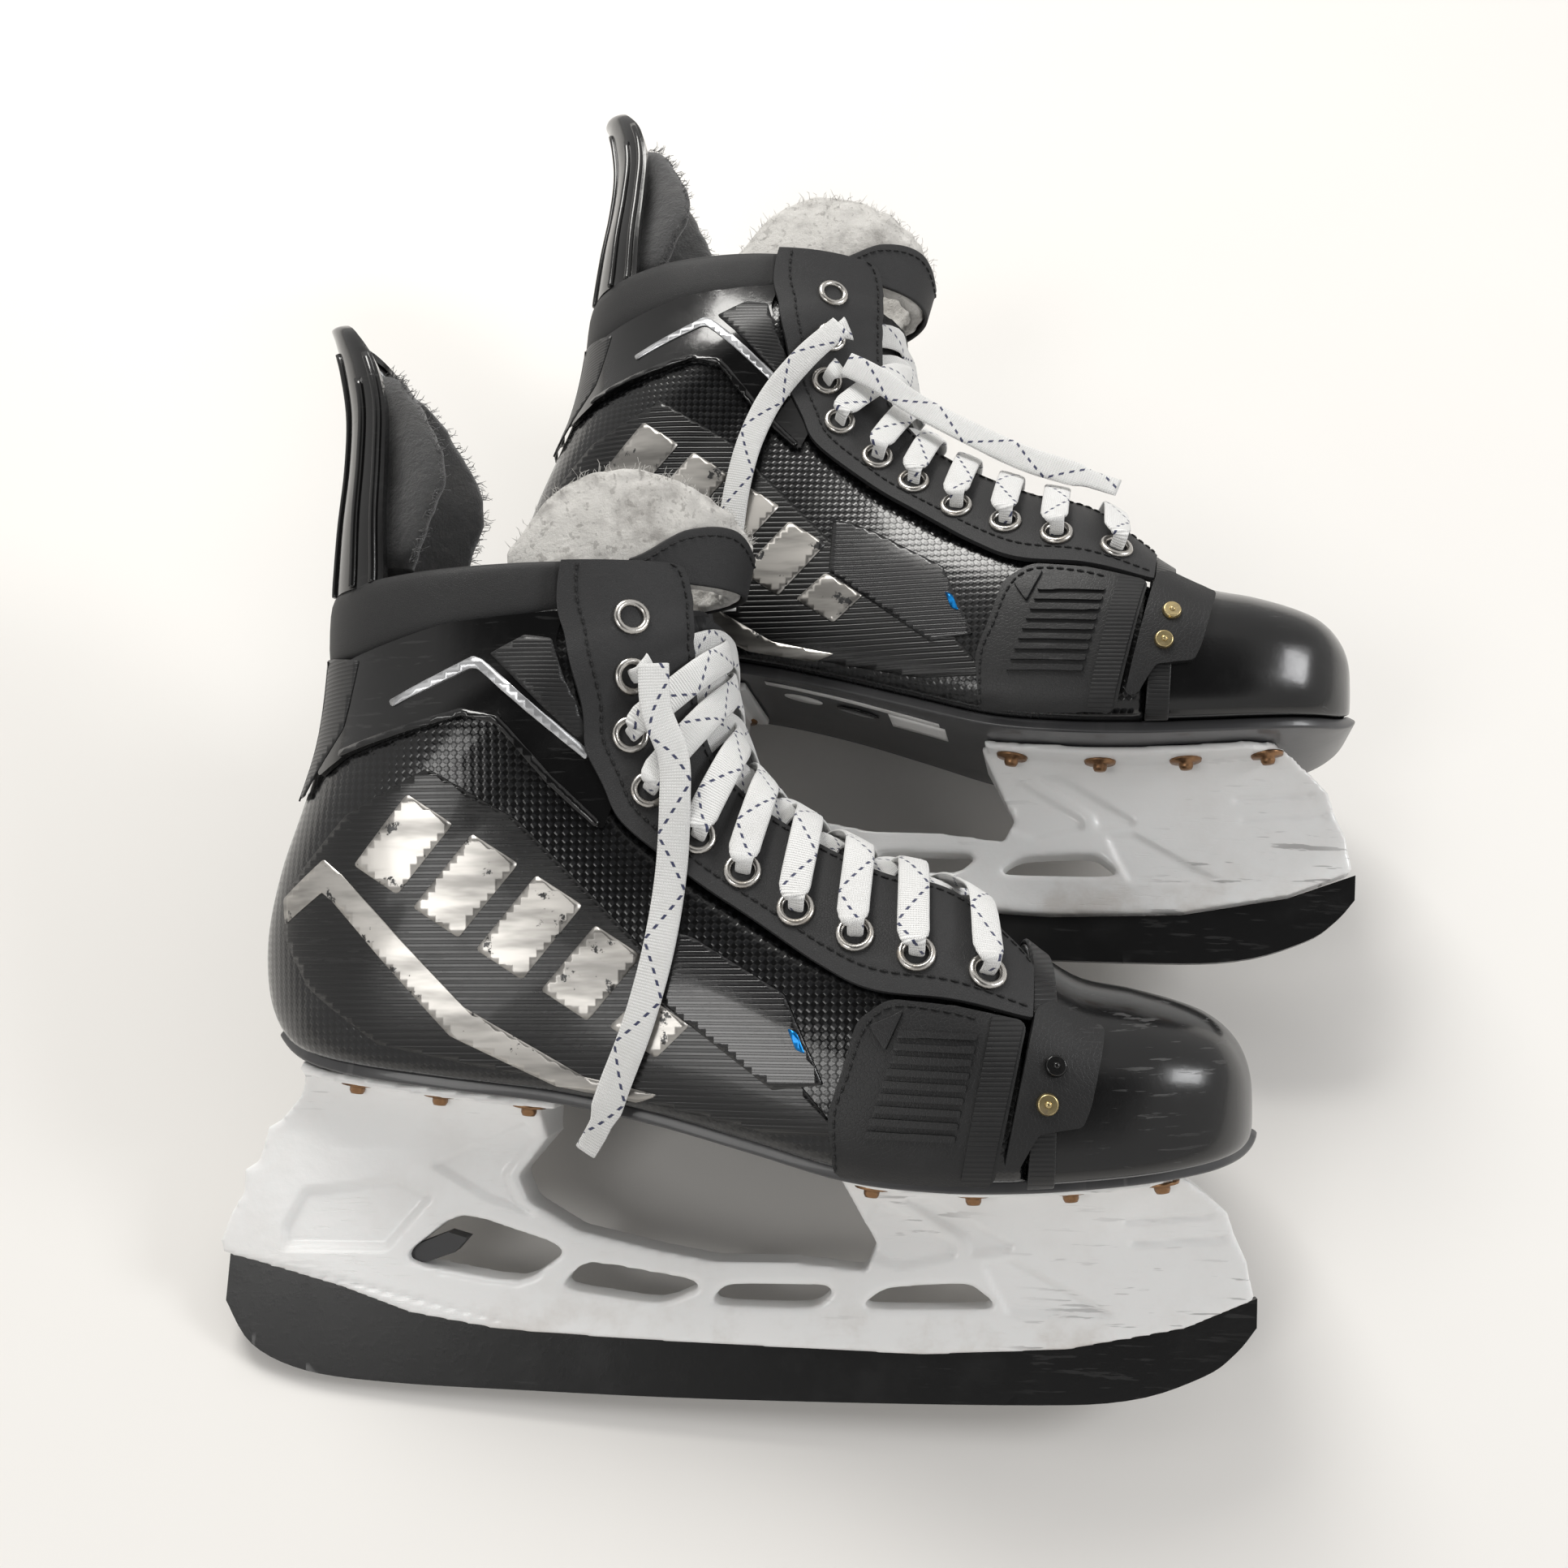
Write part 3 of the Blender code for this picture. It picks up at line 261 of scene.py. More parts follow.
PLACE = ("Vector", "NodeSocketVector", None)
WEAVE = effect("weave_cells", [PLACE, ("Scale", "NodeSocketFloat", 1900.0)], "Height", weave_cells)
GRAIN = effect("leather_grain", [PLACE, ("Scale", "NodeSocketFloat", 900.0)], "Height", leather_grain)
SCUFFS = effect(
    "scuff_marks", [PLACE, ("Scale", "NodeSocketFloat", 60.0), ("Amount", "NodeSocketFloat", 1.0)], "Mask", scuff_marks
)
SOIL = effect(
    "soiling", [PLACE, ("Scale", "NodeSocketFloat", 30.0), ("Amount", "NodeSocketFloat", 1.0)], "Mask", soiling
)
RIBS = effect("ribs", [PLACE, ("Scale", "NodeSocketFloat", 5000.0)], "Height", ribs)


# %% [markdown]
# Every finish starts from the same blank: a Principled shader with its gloss, metal, coat and sheen set
# as plain numbers. Only colour, roughness and bumps are then drawn over the surface.

# %% Blank finish
def finish(name, roughness, metallic=0.0, coat=0.0, sheen=0.0):
    """A material, its node tree and its shader."""
    made = bpy.data.materials.new(name)
    made.use_nodes = True
    tree = made.node_tree
    shader = tree.nodes["Principled BSDF"]
    shader.inputs["Roughness"].default_value = roughness
    shader.inputs["Metallic"].default_value = metallic
    shader.inputs["Coat Weight"].default_value = coat
    shader.inputs["Coat Roughness"].default_value = 0.06
    shader.inputs["Sheen Weight"].default_value = sheen
    shader.inputs["Sheen Roughness"].default_value = 0.6
    return made, tree, shader


# %% [markdown]
# Black parts differ mostly in gloss. The shell is lacquered, the caps are satin and scuffed to grey at
# the toe, and the leather is matte with a fine grain.


# %% Black plastics and leathers
def black_finish(
    name, dark, worn, roughness, weave=0.0, scuffs=0.3, grain=0.0, coat=0.0, ribbed=0.0, scale=900.0
):
    """A black finish with weave, ribs or grain, and pale scuffs."""
    made, tree, shader = finish(name, roughness, coat=coat)
    place = drawn(tree)
    marks = use(tree, SCUFFS, Vector=place, Scale=70.0, Amount=scuffs)
    dust = use(tree, SOIL, Vector=place, Scale=55.0, Amount=0.35)
    colour = blended(tree, dust, (dark, dark, dark * 1.06, 1), (dark * 1.9, dark * 1.9, dark * 1.95, 1))
    height = use(tree, SOIL, Vector=place, Scale=400.0, Amount=0.15)
    gloss = calc(tree, "ADD", calc(tree, "MULTIPLY", dust, 0.16), roughness)
    if weave:
        cells = use(tree, WEAVE, Vector=place, Scale=weave)
        colour = blended(tree, calc(tree, "MULTIPLY", cells, 0.6), colour, (0.009, 0.0095, 0.011, 1))
        gloss = calc(tree, "ADD", gloss, calc(tree, "MULTIPLY", cells, 0.10))
        height = calc(tree, "ADD", height, cells)
    if ribbed:
        lines = use(tree, RIBS, Vector=place, Scale=ribbed)
        height = calc(tree, "ADD", height, lines)
        gloss = calc(tree, "ADD", gloss, calc(tree, "MULTIPLY", lines, 0.1))
    if grain:
        height = calc(tree, "ADD", height, calc(tree, "MULTIPLY", use(tree, GRAIN, Vector=place, Scale=scale), grain))
    colour = blended(tree, marks, colour, worn)
    gloss = calc(tree, "ADD", gloss, calc(tree, "MULTIPLY", marks, 0.3))
    wire(tree, colour, shader.inputs["Base Color"])
    wire(tree, gloss, shader.inputs["Roughness"])
    bumped(tree, shader, height, 0.00012, 0.6)
    return made


SHELL = black_finish("lacquered_shell", 0.0025, (0.04, 0.04, 0.04, 1), 0.16, weave=1500.0, scuffs=0.2, coat=0.2)
PANEL = black_finish("graphic_panel", 0.003, (0.035, 0.035, 0.035, 1), 0.24, ribbed=3600.0, scuffs=0.3, coat=0.1)
GLOSS = black_finish("gloss_overlay", 0.0035, (0.05, 0.05, 0.05, 1), 0.14, scuffs=0.3, coat=0.25)
TOE = black_finish("toe_cap_plastic", 0.005, (0.06, 0.06, 0.06, 1), 0.20, scuffs=0.8, coat=0.15)
RIBBED = black_finish("ribbed_insert", 0.010, (0.04, 0.04, 0.04, 1), 0.36, ribbed=5200.0, scuffs=0.1)
RUBBER = black_finish("guard_rubber", 0.010, (0.05, 0.05, 0.05, 1), 0.46, scuffs=0.6, grain=0.3)
LEATHER = black_finish("matte_leather", 0.018, (0.05, 0.05, 0.05, 1), 0.62, scuffs=0.1, grain=0.8, scale=1500.0)
PAD = black_finish("collar_leather", 0.012, (0.03, 0.03, 0.03, 1), 0.56, scuffs=0.1, grain=0.5, scale=1800.0)
THREAD = black_finish("black_thread", 0.008, (0.05, 0.05, 0.05, 1), 0.7, scuffs=0.0)
BLADE = black_finish("black_coated_steel", 0.005, (0.04, 0.04, 0.04, 1), 0.30, scuffs=0.35)
CATCH = black_finish("trigger_plastic", 0.03, (0.1, 0.1, 0.1, 1), 0.45, scuffs=0.3)

# %% [markdown]
# The silver graphics are a thin foil that has rubbed away in places. A clean metal with a mask that
# turns it back to black gives that, with the mask's edge left hard, as foil flakes.


# %% Foil, white plastic and metals
def foil_finish(name, tint, wear):
    made, tree, shader = finish(name, 0.36, metallic=1.0, coat=0.2)
    place = drawn(tree)
    flakes = ramp(tree, cloud(tree, place, 120.0, 6.0, 0.7), wear, wear + 0.03)
    shine = ramp(tree, cloud(tree, turned(tree, place, (0, 0.6, 0), (1, 1, 5)), 35.0), 0.35, 0.7)
    bright = blended(tree, shine, tint, tuple(value * 0.45 for value in tint[:3]) + (1,))
    wire(tree, blended(tree, flakes, bright, (0.012, 0.012, 0.013, 1)), shader.inputs["Base Color"])
    wire(tree, calc(tree, "SUBTRACT", 1.0, flakes), shader.inputs["Metallic"])
    return made


def white_finish(name):
    made, tree, shader = finish(name, 0.3, coat=0.15)
    place = drawn(tree)
    marks = use(tree, SCUFFS, Vector=place, Scale=42.0, Amount=0.7)
    _, _, z = split(tree, place)
    low = ramp(tree, z, 0.035, 0.012)
    grime = calc(tree, "MULTIPLY", use(tree, SOIL, Vector=place, Scale=38.0, Amount=0.5), calc(tree, "ADD", low, 0.25))
    colour = blended(tree, grime, (0.90, 0.90, 0.895, 1), (0.60, 0.55, 0.50, 1))
    colour = blended(tree, marks, colour, (0.16, 0.15, 0.15, 1))
    wire(tree, colour, shader.inputs["Base Color"])
    wire(tree, calc(tree, "ADD", calc(tree, "MULTIPLY", marks, 0.4), 0.28), shader.inputs["Roughness"])
    cuts = use(tree, SCUFFS, Vector=place, Scale=90.0, Amount=0.7)
    bumped(tree, shader, calc(tree, "SUBTRACT", cloud(tree, place, 260.0), cuts), 0.0002, 0.5)
    shader.inputs["Subsurface Weight"].default_value = 0.08
    shader.inputs["Subsurface Radius"].default_value = (0.004, 0.003, 0.003)
    return made


def metal_finish(name, tint, stain, roughness, amount):
    made, tree, shader = finish(name, roughness, metallic=1.0)
    place = drawn(tree)
    spots = use(tree, SOIL, Vector=place, Scale=220.0, Amount=amount)
    wire(tree, blended(tree, spots, tint, stain), shader.inputs["Base Color"])
    wire(tree, calc(tree, "ADD", calc(tree, "MULTIPLY", spots, 0.3), roughness), shader.inputs["Roughness"])
    bumped(tree, shader, cloud(tree, place, 900.0), 0.00008, 0.4)
    return made


def cloth_finish(name, clean, soiled, amount, fuzz, sheen=0.6):
    """Felt or brushed lining: matte, mottled and hairy."""
    made, tree, shader = finish(name, 0.95, sheen=sheen)
    place = drawn(tree)
    spots = use(tree, SOIL, Vector=place, Scale=70.0, Amount=amount)
    flecks = ramp(tree, cloud(tree, place, 420.0, 4.0), 0.58, 0.66)
    colour = blended(tree, spots, clean, soiled)
    colour = blended(tree, calc(tree, "MULTIPLY", flecks, 0.5), colour, soiled)
    wire(tree, colour, shader.inputs["Base Color"])
    wire(tree, calc(tree, "SUBTRACT", 1.0, calc(tree, "MULTIPLY", spots, 0.12)), shader.inputs["Roughness"])
    hair = calc(tree, "ADD", cloud(tree, place, 650.0, 6.0, 0.8), cloud(tree, place, 180.0, 4.0, 0.7))
    bumped(tree, shader, hair, fuzz, 0.9)
    return made


def lace_finish(name):
    """Flat white webbing with a dark dotted tracer thread that crosses it again and again."""
    made, tree, shader = finish(name, 0.85, sheen=0.35)
    across, along, _ = split(tree, drawn(tree, "run"))
    zigzag = calc(tree, "PINGPONG", calc(tree, "ADD", along, 10.0), LACE_WIDTH * 1.7)
    path = calc(tree, "SUBTRACT", calc(tree, "MULTIPLY", zigzag, 1 / 1.7), LACE_WIDTH / 2)
    near = ramp(tree, calc(tree, "ABSOLUTE", calc(tree, "SUBTRACT", across, path)), 0.00055, 0.0003)
    dots = ramp(tree, calc(tree, "SINE", calc(tree, "MULTIPLY", along, 2 * pi / 0.0028)), -0.1, 0.15)
    tracer = calc(tree, "MULTIPLY", near, dots)
    first = calc(tree, "SINE", calc(tree, "MULTIPLY", across, 2 * pi / 0.00085))
    slant = calc(tree, "ADD", calc(tree, "ABSOLUTE", calc(tree, "MULTIPLY", first, 0.00025)), along)
    rows = calc(tree, "SINE", calc(tree, "MULTIPLY", slant, 2 * pi / 0.0008))
    weave = calc(tree, "ADD", calc(tree, "ABSOLUTE", first), calc(tree, "MULTIPLY", rows, 0.6))
    shade = ramp(tree, weave, -0.4, 1.2)
    soil = use(tree, SOIL, Vector=turned(tree, drawn(tree, "run")), Scale=60.0, Amount=0.35)
    colour = blended(tree, shade, (0.76, 0.76, 0.75, 1), (0.94, 0.94, 0.93, 1))
    colour = blended(tree, soil, colour, (0.70, 0.69, 0.67, 1))
    colour = blended(tree, tracer, colour, (0.012, 0.02, 0.09, 1))
    wire(tree, colour, shader.inputs["Base Color"])
    wire(tree, calc(tree, "SUBTRACT", 0.9, calc(tree, "MULTIPLY", tracer, 0.2)), shader.inputs["Roughness"])
    bumped(tree, shader, weave, 0.00018, 0.8)
    return made


LACE_WIDTH = 0.0083
LACE_THICKNESS = 0.0014
SILVER = foil_finish("silver_foil", (0.56, 0.54, 0.51, 1), 0.60)
CHROME_LINE = foil_finish("bright_line", (0.75, 0.76, 0.78, 1), 0.68)
BLUE = foil_finish("blue_foil", (0.01, 0.22, 0.60, 1), 0.72)
WHITE = white_finish("white_nylon")
RIM = metal_finish("eyelet_metal", (0.62, 0.60, 0.57, 1), (0.30, 0.24, 0.17, 1), 0.24, 0.5)
STEEL = metal_finish("plain_steel", (0.55, 0.55, 0.56, 1), (0.2, 0.17, 0.14, 1), 0.3, 0.4)
BRONZE = metal_finish("rivet_bronze", (0.30, 0.17, 0.09, 1), (0.10, 0.06, 0.04, 1), 0.36, 0.8)
BRASS = metal_finish("clip_brass", (0.62, 0.50, 0.26, 1), (0.16, 0.13, 0.10, 1), 0.3, 0.8)
FELT = cloth_finish("tongue_felt", (0.80, 0.78, 0.74, 1), (0.28, 0.26, 0.24, 1), 0.7, 0.0009, 0.5)
LINING = cloth_finish("brushed_lining", (0.012, 0.012, 0.013, 1), (0.035, 0.033, 0.031, 1), 0.5, 0.0006)
WEBBING = lace_finish("lace_webbing")
BOARD = black_finish("grey_board", 0.055, (0.2, 0.2, 0.2, 1), 0.34, scuffs=0.4, coat=0.2)
BADGE = black_finish("grey_badge", 0.012, (0.06, 0.06, 0.06, 1), 0.14, ribbed=4200.0, scuffs=0.2, coat=0.25)

floor_finish, floor_tree, floor_shader = finish("pale_floor", 0.55)
speckle = cloud(floor_tree, floor_tree.nodes.new("ShaderNodeTexCoord").outputs["Object"], 6.0)
floor_tone = blended(floor_tree, speckle, (0.82, 0.80, 0.775, 1), (0.84, 0.825, 0.80, 1))
wire(floor_tree, floor_tone, floor_shader.inputs["Base Color"])
floor.data.materials.append(floor_finish)

# %% [markdown]
# ## One skin for the whole boot
# A boot has no flat faces, so every panel is drawn on the same skin: sections along the foot, from the
# toe, round the heel and up to the collar. A place on it is a station u and a height v, where v is -1
# at the sole's edge, 0 at the widest point and 1 on top of the foot. Panels that share the skin always
# fit each other.

# %% The skin's sections, in millimetres
STATIONS = [
    (131, 82, 131, 88, 2, 3, 0.50, 2.2, 2.2),
    (129.5, 76, 129.5, 95.5, 15, 18.2, 0.50, 2.2, 2.2),
    (126, 73, 126.5, 101, 23, 27.6, 0.48, 2.4, 2.2),
    (120, 71.2, 121, 105.5, 30, 35.5, 0.45, 2.6, 2.3),
    (112, 69.8, 113, 108.8, 35, 41.3, 0.42, 2.8, 2.3),
    (100, 68.2, 101, 112, 38.5, 46, 0.40, 3.0, 2.3),
    (85, 66.8, 86, 115.5, 40.5, 48.5, 0.38, 3.0, 2.3),
    (68, 65.8, 71, 126, 41.5, 50, 0.36, 3.0, 2.3),
    (48, 65.8, 53, 142, 41.5, 50, 0.33, 3.0, 2.2),
    (25, 68, 35, 148.5, 39.5, 48, 0.32, 3.0, 2.2),
    (0, 74.5, 16, 159, 36, 44.5, 0.32, 2.8, 2.1),
    (-25, 81, 1, 170.5, 33, 41, 0.35, 2.6, 2.1),
    (-52, 86.5, -6, 182, 31.5, 39.5, 0.40, 2.5, 2.1),
    (-82, 90, -8.5, 192, 31, 39.5, 0.45, 2.4, 2.1),
    (-108, 93.2, -9.5, 200, 28.5, 39.5, 0.50, 2.3, 2.1),
    (-126, 96.5, -10, 205, 20, 40, 0.53, 2.2, 2.1),
    (-136.5, 102.5, -10.5, 209, 10, 40.5, 0.55, 2.1, 2.1),
    (-142, 112, -10.5, 212, 3, 41.5, 0.56, 2.1, 2.1),
    (-142.8, 127, -11, 214, 2, 42.5, 0.56, 2.1, 2.1),
    (-139.5, 144, -11, 216, 2, 43.5, 0.55, 2.1, 2.1),
    (-133.5, 162, -11.5, 218, 2, 43.5, 0.53, 2.1, 2.1),
    (-128, 181, -12, 220, 2, 42, 0.52, 2.1, 2.1),
    (-125.5, 203, -12, 222, 2, 41, 0.52, 2.1, 2.1),
    (-125, 225, -13, 230, 2, 41, 0.52, 2.1, 2.1),
]
LATERAL, MEDIAL = -1, 1
SIDES = ((LATERAL, "lateral"), (MEDIAL, "medial"))
MM = 0.001


def smooth(table, place):
    """A row between two rows of a table, on a curve through all of them."""
    place = min(max(place, 0.0), len(table) - 1 - 1e-9)
    first = int(place)
    t = place - first
    rows = [table[min(max(first + k, 0), len(table) - 1)] for k in (-1, 0, 1, 2)]
    return [
        0.5 * (2 * b + (c - a) * t + (2 * a - 5 * b + 4 * c - d) * t * t + (3 * b - a - 3 * c + d) * t**3)
        for a, b, c, d in zip(*rows)
    ]


def straight(table, key):
    """The rest of the row at a key, between the two rows whose first values lie round it."""
    rows = sorted(table)
    if key <= rows[0][0]:
        return rows[0][1]
    for low, high in zip(rows, rows[1:]):
        if key <= high[0]:
            return low[1] + (high[1] - low[1]) * (key - low[0]) / (high[0] - low[0])
    return rows[-1][1]


def spaced(low, high, count):
    return [low + (high - low) * i / (count - 1) for i in range(count)]


def station(u):
    low_x, low_z, high_x, high_z, sole, widest, rise, below, above = smooth(STATIONS, u)
    return Vector((low_x, 0, low_z)) * MM, Vector((high_x, 0, high_z)) * MM, sole * MM, widest * MM, rise, below, above


def on_section(u, v, side):
    low, high, sole, widest, rise, below, above = station(u)
    if v <= 0:
        angle = (v + 1) * pi / 2
        height = rise * (1 - max(cos(angle), 0) ** (2 / below))
        half = sole + (widest - sole) * max(sin(angle), 0) ** (2 / below)
    else:
        angle = v * pi / 2
        height = rise + (1 - rise) * max(sin(angle), 0) ** (2 / above)
        half = widest * max(cos(angle), 0) ** (2 / above)
    return low + (high - low) * height + Vector((0, side * half, 0))


def v_at(u, height):
    """The v of a height given as a share of the way from the sole to the top."""
    rise, below, above = station(u)[4:]
    if height <= rise:
        return acos(min(max(1 - height / rise, 0), 1) ** (below / 2)) / (pi / 2) - 1
    share = min(max((height - rise) / (1 - rise), 0), 1) ** (above / 2)
    return asin(share) / (pi / 2)


def skin(u, v, side, out=0.0):
    """A point of the skin, moved out along its normal."""
    if v > 1:
        side, v = -side, 2 - v
    u_low, u_high = max(u - 0.05, 0), min(u + 0.05, len(STATIONS) - 1)
    point = on_section(u, v, side)
    along = on_section(u_high, v, side) - on_section(u_low, v, side)
    if v + 0.02 > 1:
        across = on_section(u, 1 - (v + 0.02 - 1), -side) - on_section(u, v - 0.02, side)
    else:
        across = on_section(u, v + 0.02, side) - on_section(u, max(v - 0.02, -1), side)
    normal = along.cross(across).normalized()
    low, high = station(u)[:2]
    if normal.dot(point - (low + high) / 2) < 0:
        normal.negate()
    return point + normal * out


def sole_point(u, y, out=0.0):
    """A point of the sole's plane at station u, y across, moved down by out."""
    low, high = station(u)[:2]
    ahead, behind = station(max(u - 0.05, 0))[0], station(min(u + 0.05, len(STATIONS) - 1))[0]
    along = (ahead - behind).normalized()
    down = Vector((along.z, 0, -along.x))
    if down.dot(high - low) > 0:
        down.negate()
    return low + down * out + Vector((0, y, 0))

# %% [markdown]
# ## Laying the skates down
# Every piece is modelled once, upright in its skate's own frame, then copied for each skate. The left
# one is mirrored, and both are turned onto their sides. The upright place of each vertex is kept in an
# attribute called drawn, which the finishes read, so grain and graphics stay put on both skates.

# %% Where each skate lies, and how a piece is placed
REST = {
    "right": (Vector((-0.014226, -0.219082, 0.010464)), radians(-2), radians(26.5), radians(4.5)),
    "left": (Vector((0.030774, -0.088282, 0.020590)), radians(-7), radians(18), radians(9)),
}
ON_SIDE = Matrix(((1, 0, 0, 0), (0, 0, 1, 0), (0, -1, 0, 0), (0, 0, 0, 1)))
LAID = {
    hand: Matrix.Translation(place)
    @ Matrix.Rotation(turn, 4, "Z")
    @ Matrix.Rotation(-toe, 4, "Y")
    @ Matrix.Rotation(tilt, 4, "X")
    @ ON_SIDE
    for hand, (place, turn, tilt, toe) in REST.items()
}
pieces = {}


def make_piece(name, bm, material, body, slot, nodes=(), wall=0.0, bevel=0.0, levels=0, soft=None):
    """An object of a bmesh that is already in the row frame."""
    mesh = bpy.data.meshes.new(name)
    bm.to_mesh(mesh)
    mesh.shade_smooth()
    mesh.materials.append(material)
    obj = bpy.data.objects.new(name, mesh)
    bpy.context.collection.objects.link(obj)
    if wall:
        modifier = obj.modifiers.new("wall", "SOLIDIFY")
        modifier.thickness = wall
        modifier.offset = -1
        modifier.use_even_offset = False
    if bevel:
        modifier = obj.modifiers.new("edge", "BEVEL")
        modifier.width = bevel
        modifier.segments = 2
        modifier.limit_method = "ANGLE"
        modifier.angle_limit = radians(40)
        modifier.harden_normals = False
        obj.modifiers.new("normals", "WEIGHTED_NORMAL").keep_sharp = True
    if levels:
        modifier = obj.modifiers.new("round", "SUBSURF")
        modifier.levels = levels
        modifier.render_levels = levels
    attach(obj, body)
    if nodes:
        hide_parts(*nodes)
    pieces[name] = obj
    return obj


def place_pair(name, bm, material, slot, body="boot", nodes=(), hands=("right", "left"), **rest):
    """Copies an upright bmesh to both skates."""
    layer = bm.verts.layers.float_vector.new("drawn")
    for vert in bm.verts:
        vert[layer] = vert.co
    for hand in hands:
        copy = bm.copy()
        if hand == "left":
            bmesh.ops.scale(copy, verts=copy.verts, vec=(1, -1, 1))
            bmesh.ops.reverse_faces(copy, faces=copy.faces)
        bmesh.ops.transform(copy, verts=copy.verts, matrix=LAID[hand])
        own = [f"{hand}_{node}" for node in nodes]
        make_piece(f"{hand}_skate_{name}", copy, material, f"{hand}_{body}", slot, own, **rest)
        copy.free()
    bm.free()


# %% [markdown]
# A panel starts as a flat grid and each of its points is moved to a place on the skin. A closed or
# tubular form is the same grid, rolled up and joined along its seam.


# %% Grids laid on the skin
def rolled(columns, rows, place, join=True):
    """A grid whose points are moved by place(s, t), with s and t from 0 to 1."""
    bm = bmesh.new()
    bmesh.ops.create_grid(bm, x_segments=columns, y_segments=rows, size=0.5)
    half = max(vert.co.x for vert in bm.verts)
    for vert in bm.verts:
        vert.co = place(vert.co.x / half / 2 + 0.5, vert.co.y / half / 2 + 0.5)
    if join:
        bmesh.ops.remove_doubles(bm, verts=bm.verts, dist=1e-6)
    return bm


def face_out(bm, away):
    """Turns an open panel so that its faces look away from a point inside the boot."""
    total = sum((face.calc_center_median() - away(face.calc_center_median())).dot(face.normal) for face in bm.faces)
    if total < 0:
        bmesh.ops.reverse_faces(bm, faces=bm.faces)
    return bm


def middle_of(point):
    """A point inside the boot, level with this one."""
    return Vector((min(point.x * 0.85 - 0.006, 0.10), 0, 0.10 if point.x > -0.02 else point.z))


def open_panel(columns, rows, place, away=middle_of):
    """A grid with no wall yet, whose faces look away from the inside of the boot."""
    bm = rolled(columns, rows, place, join=False)
    bm.normal_update()
    return face_out(bm, away)


def bulge(value, power):
    """A sine or cosine made squarer, with its sign kept. It rounds the section of every soft roll."""
    return (abs(value) ** power) * (1 if value > 0 else -1)


def stood(direction):
    """The turn that stands a piece's Z along a direction."""
    return direction.to_track_quat("Z", "Y").to_matrix().to_4x4()


def add_to(whole, bm):
    """Adds one bmesh to another and frees it."""
    mesh = bpy.data.meshes.new("part")
    bm.to_mesh(mesh)
    whole.from_mesh(mesh)
    bpy.data.meshes.remove(mesh)
    bm.free()


def closed(bm):
    """Merges a form's doubles, caps its open ends and turns its faces outwards."""
    bmesh.ops.remove_doubles(bm, verts=bm.verts, dist=1e-6)
    bmesh.ops.holes_fill(bm, edges=[edge for edge in bm.edges if edge.is_boundary], sides=0)
    bmesh.ops.recalc_face_normals(bm, faces=bm.faces)
    return bm


def between(lower, upper, s, t, side, lift):
    """A point on the skin between two curves of (station, height): s along them, t from one to the other."""
    low_u, low_height = smooth(lower, s * (len(lower) - 1))
    high_u, high_height = smooth(upper, s * (len(upper) - 1))
    low, high = v_at(low_u, low_height), v_at(high_u, high_height)
    return skin(low_u + (high_u - low_u) * t, low + (high - low) * t, side, lift)


def skin_tree(side, top=0.98):
    """The skin of one side as a search tree, for throwing outlines onto it."""
    bm = rolled(130, 36, lambda s, t: skin(s * 22.99, -1 + (top + 1) * t, side), join=False)
    bm.normal_update()
    tree = BVHTree.FromBMesh(bm)
    bm.free()
    return tree


SKIN_TREES = {side: skin_tree(side) for side, word in SIDES}
print("skin ready")


def thrown_point(x, z, side):
    """Where a point of the side view meets the skin, and the skin's normal there."""
    hit, normal, _, _ = SKIN_TREES[side].ray_cast(Vector((x, side * 0.2, z)), Vector((0, -side, 0)))
    if hit is None:
        hit, normal, _, _ = SKIN_TREES[side].find_nearest(Vector((x, side * 0.02, z)))
    return hit, -normal if normal.y * side < 0 else normal


def thrown(outline, side, lift, cell=2.0, round_by=0.0):
    """A panel with a drawn outline in X and Z, cut into cells and thrown onto one side of the skin."""
    bm = bmesh.new()
    verts = [bm.verts.new((x * MM, 0, z * MM)) for x, z in outline]
    bm.faces.new(verts)
    if round_by:
        bmesh.ops.bevel(
            bm, geom=bm.verts[:], offset=round_by * MM, offset_type="OFFSET", affect="VERTICES",
            segments=4, profile=0.5, material=-1,
        )
    for axis, index in (((1, 0, 0), 0), ((0, 0, 1), 2)):
        low = min(vert.co[index] for vert in bm.verts)
        high = max(vert.co[index] for vert in bm.verts)
        count = int((high - low) / (cell * MM))
        for step in range(1, count + 1):
            level = low + (high - low) * step / (count + 1)
            cut = Vector(axis) * level
            bmesh.ops.bisect_plane(bm, geom=bm.verts[:] + bm.edges[:] + bm.faces[:], plane_co=cut, plane_no=axis)
    for vert in bm.verts:
        hit, normal = thrown_point(vert.co.x, vert.co.z, side)
        vert.co = hit + normal * lift
    bm.normal_update()
    if sum(face.normal.y * side for face in bm.faces) < 0:
        bmesh.ops.reverse_faces(bm, faces=bm.faces)
    return bm


def thread_run(points, into, spacing=0.0030, length=0.0021, radius=0.00038):
    """Stitches along a path: short rounded threads with gaps."""
    lengths = [0]
    for a, b in zip(points, points[1:]):
        lengths.append(lengths[-1] + (b - a).length)
    count = int(lengths[-1] / spacing)
    index = 0
    for i in range(count):
        target = (i + 0.5) * spacing
        while index < len(points) - 2 and lengths[index + 1] < target:
            index += 1
        a, b = points[index], points[index + 1]
        t = (target - lengths[index]) / max(lengths[index + 1] - lengths[index], 1e-9)
        centre = a + (b - a) * t
        turn = stood(b - a)
        for sign in (-1, 1):
            bmesh.ops.create_cone(
                into, cap_ends=True, segments=5, radius1=radius, radius2=radius * 0.55, depth=length / 2,
                matrix=Matrix.Translation(centre + (b - a).normalized() * sign * length / 4)
                @ turn @ Matrix.Rotation(0 if sign > 0 else pi, 4, "X"),
            )


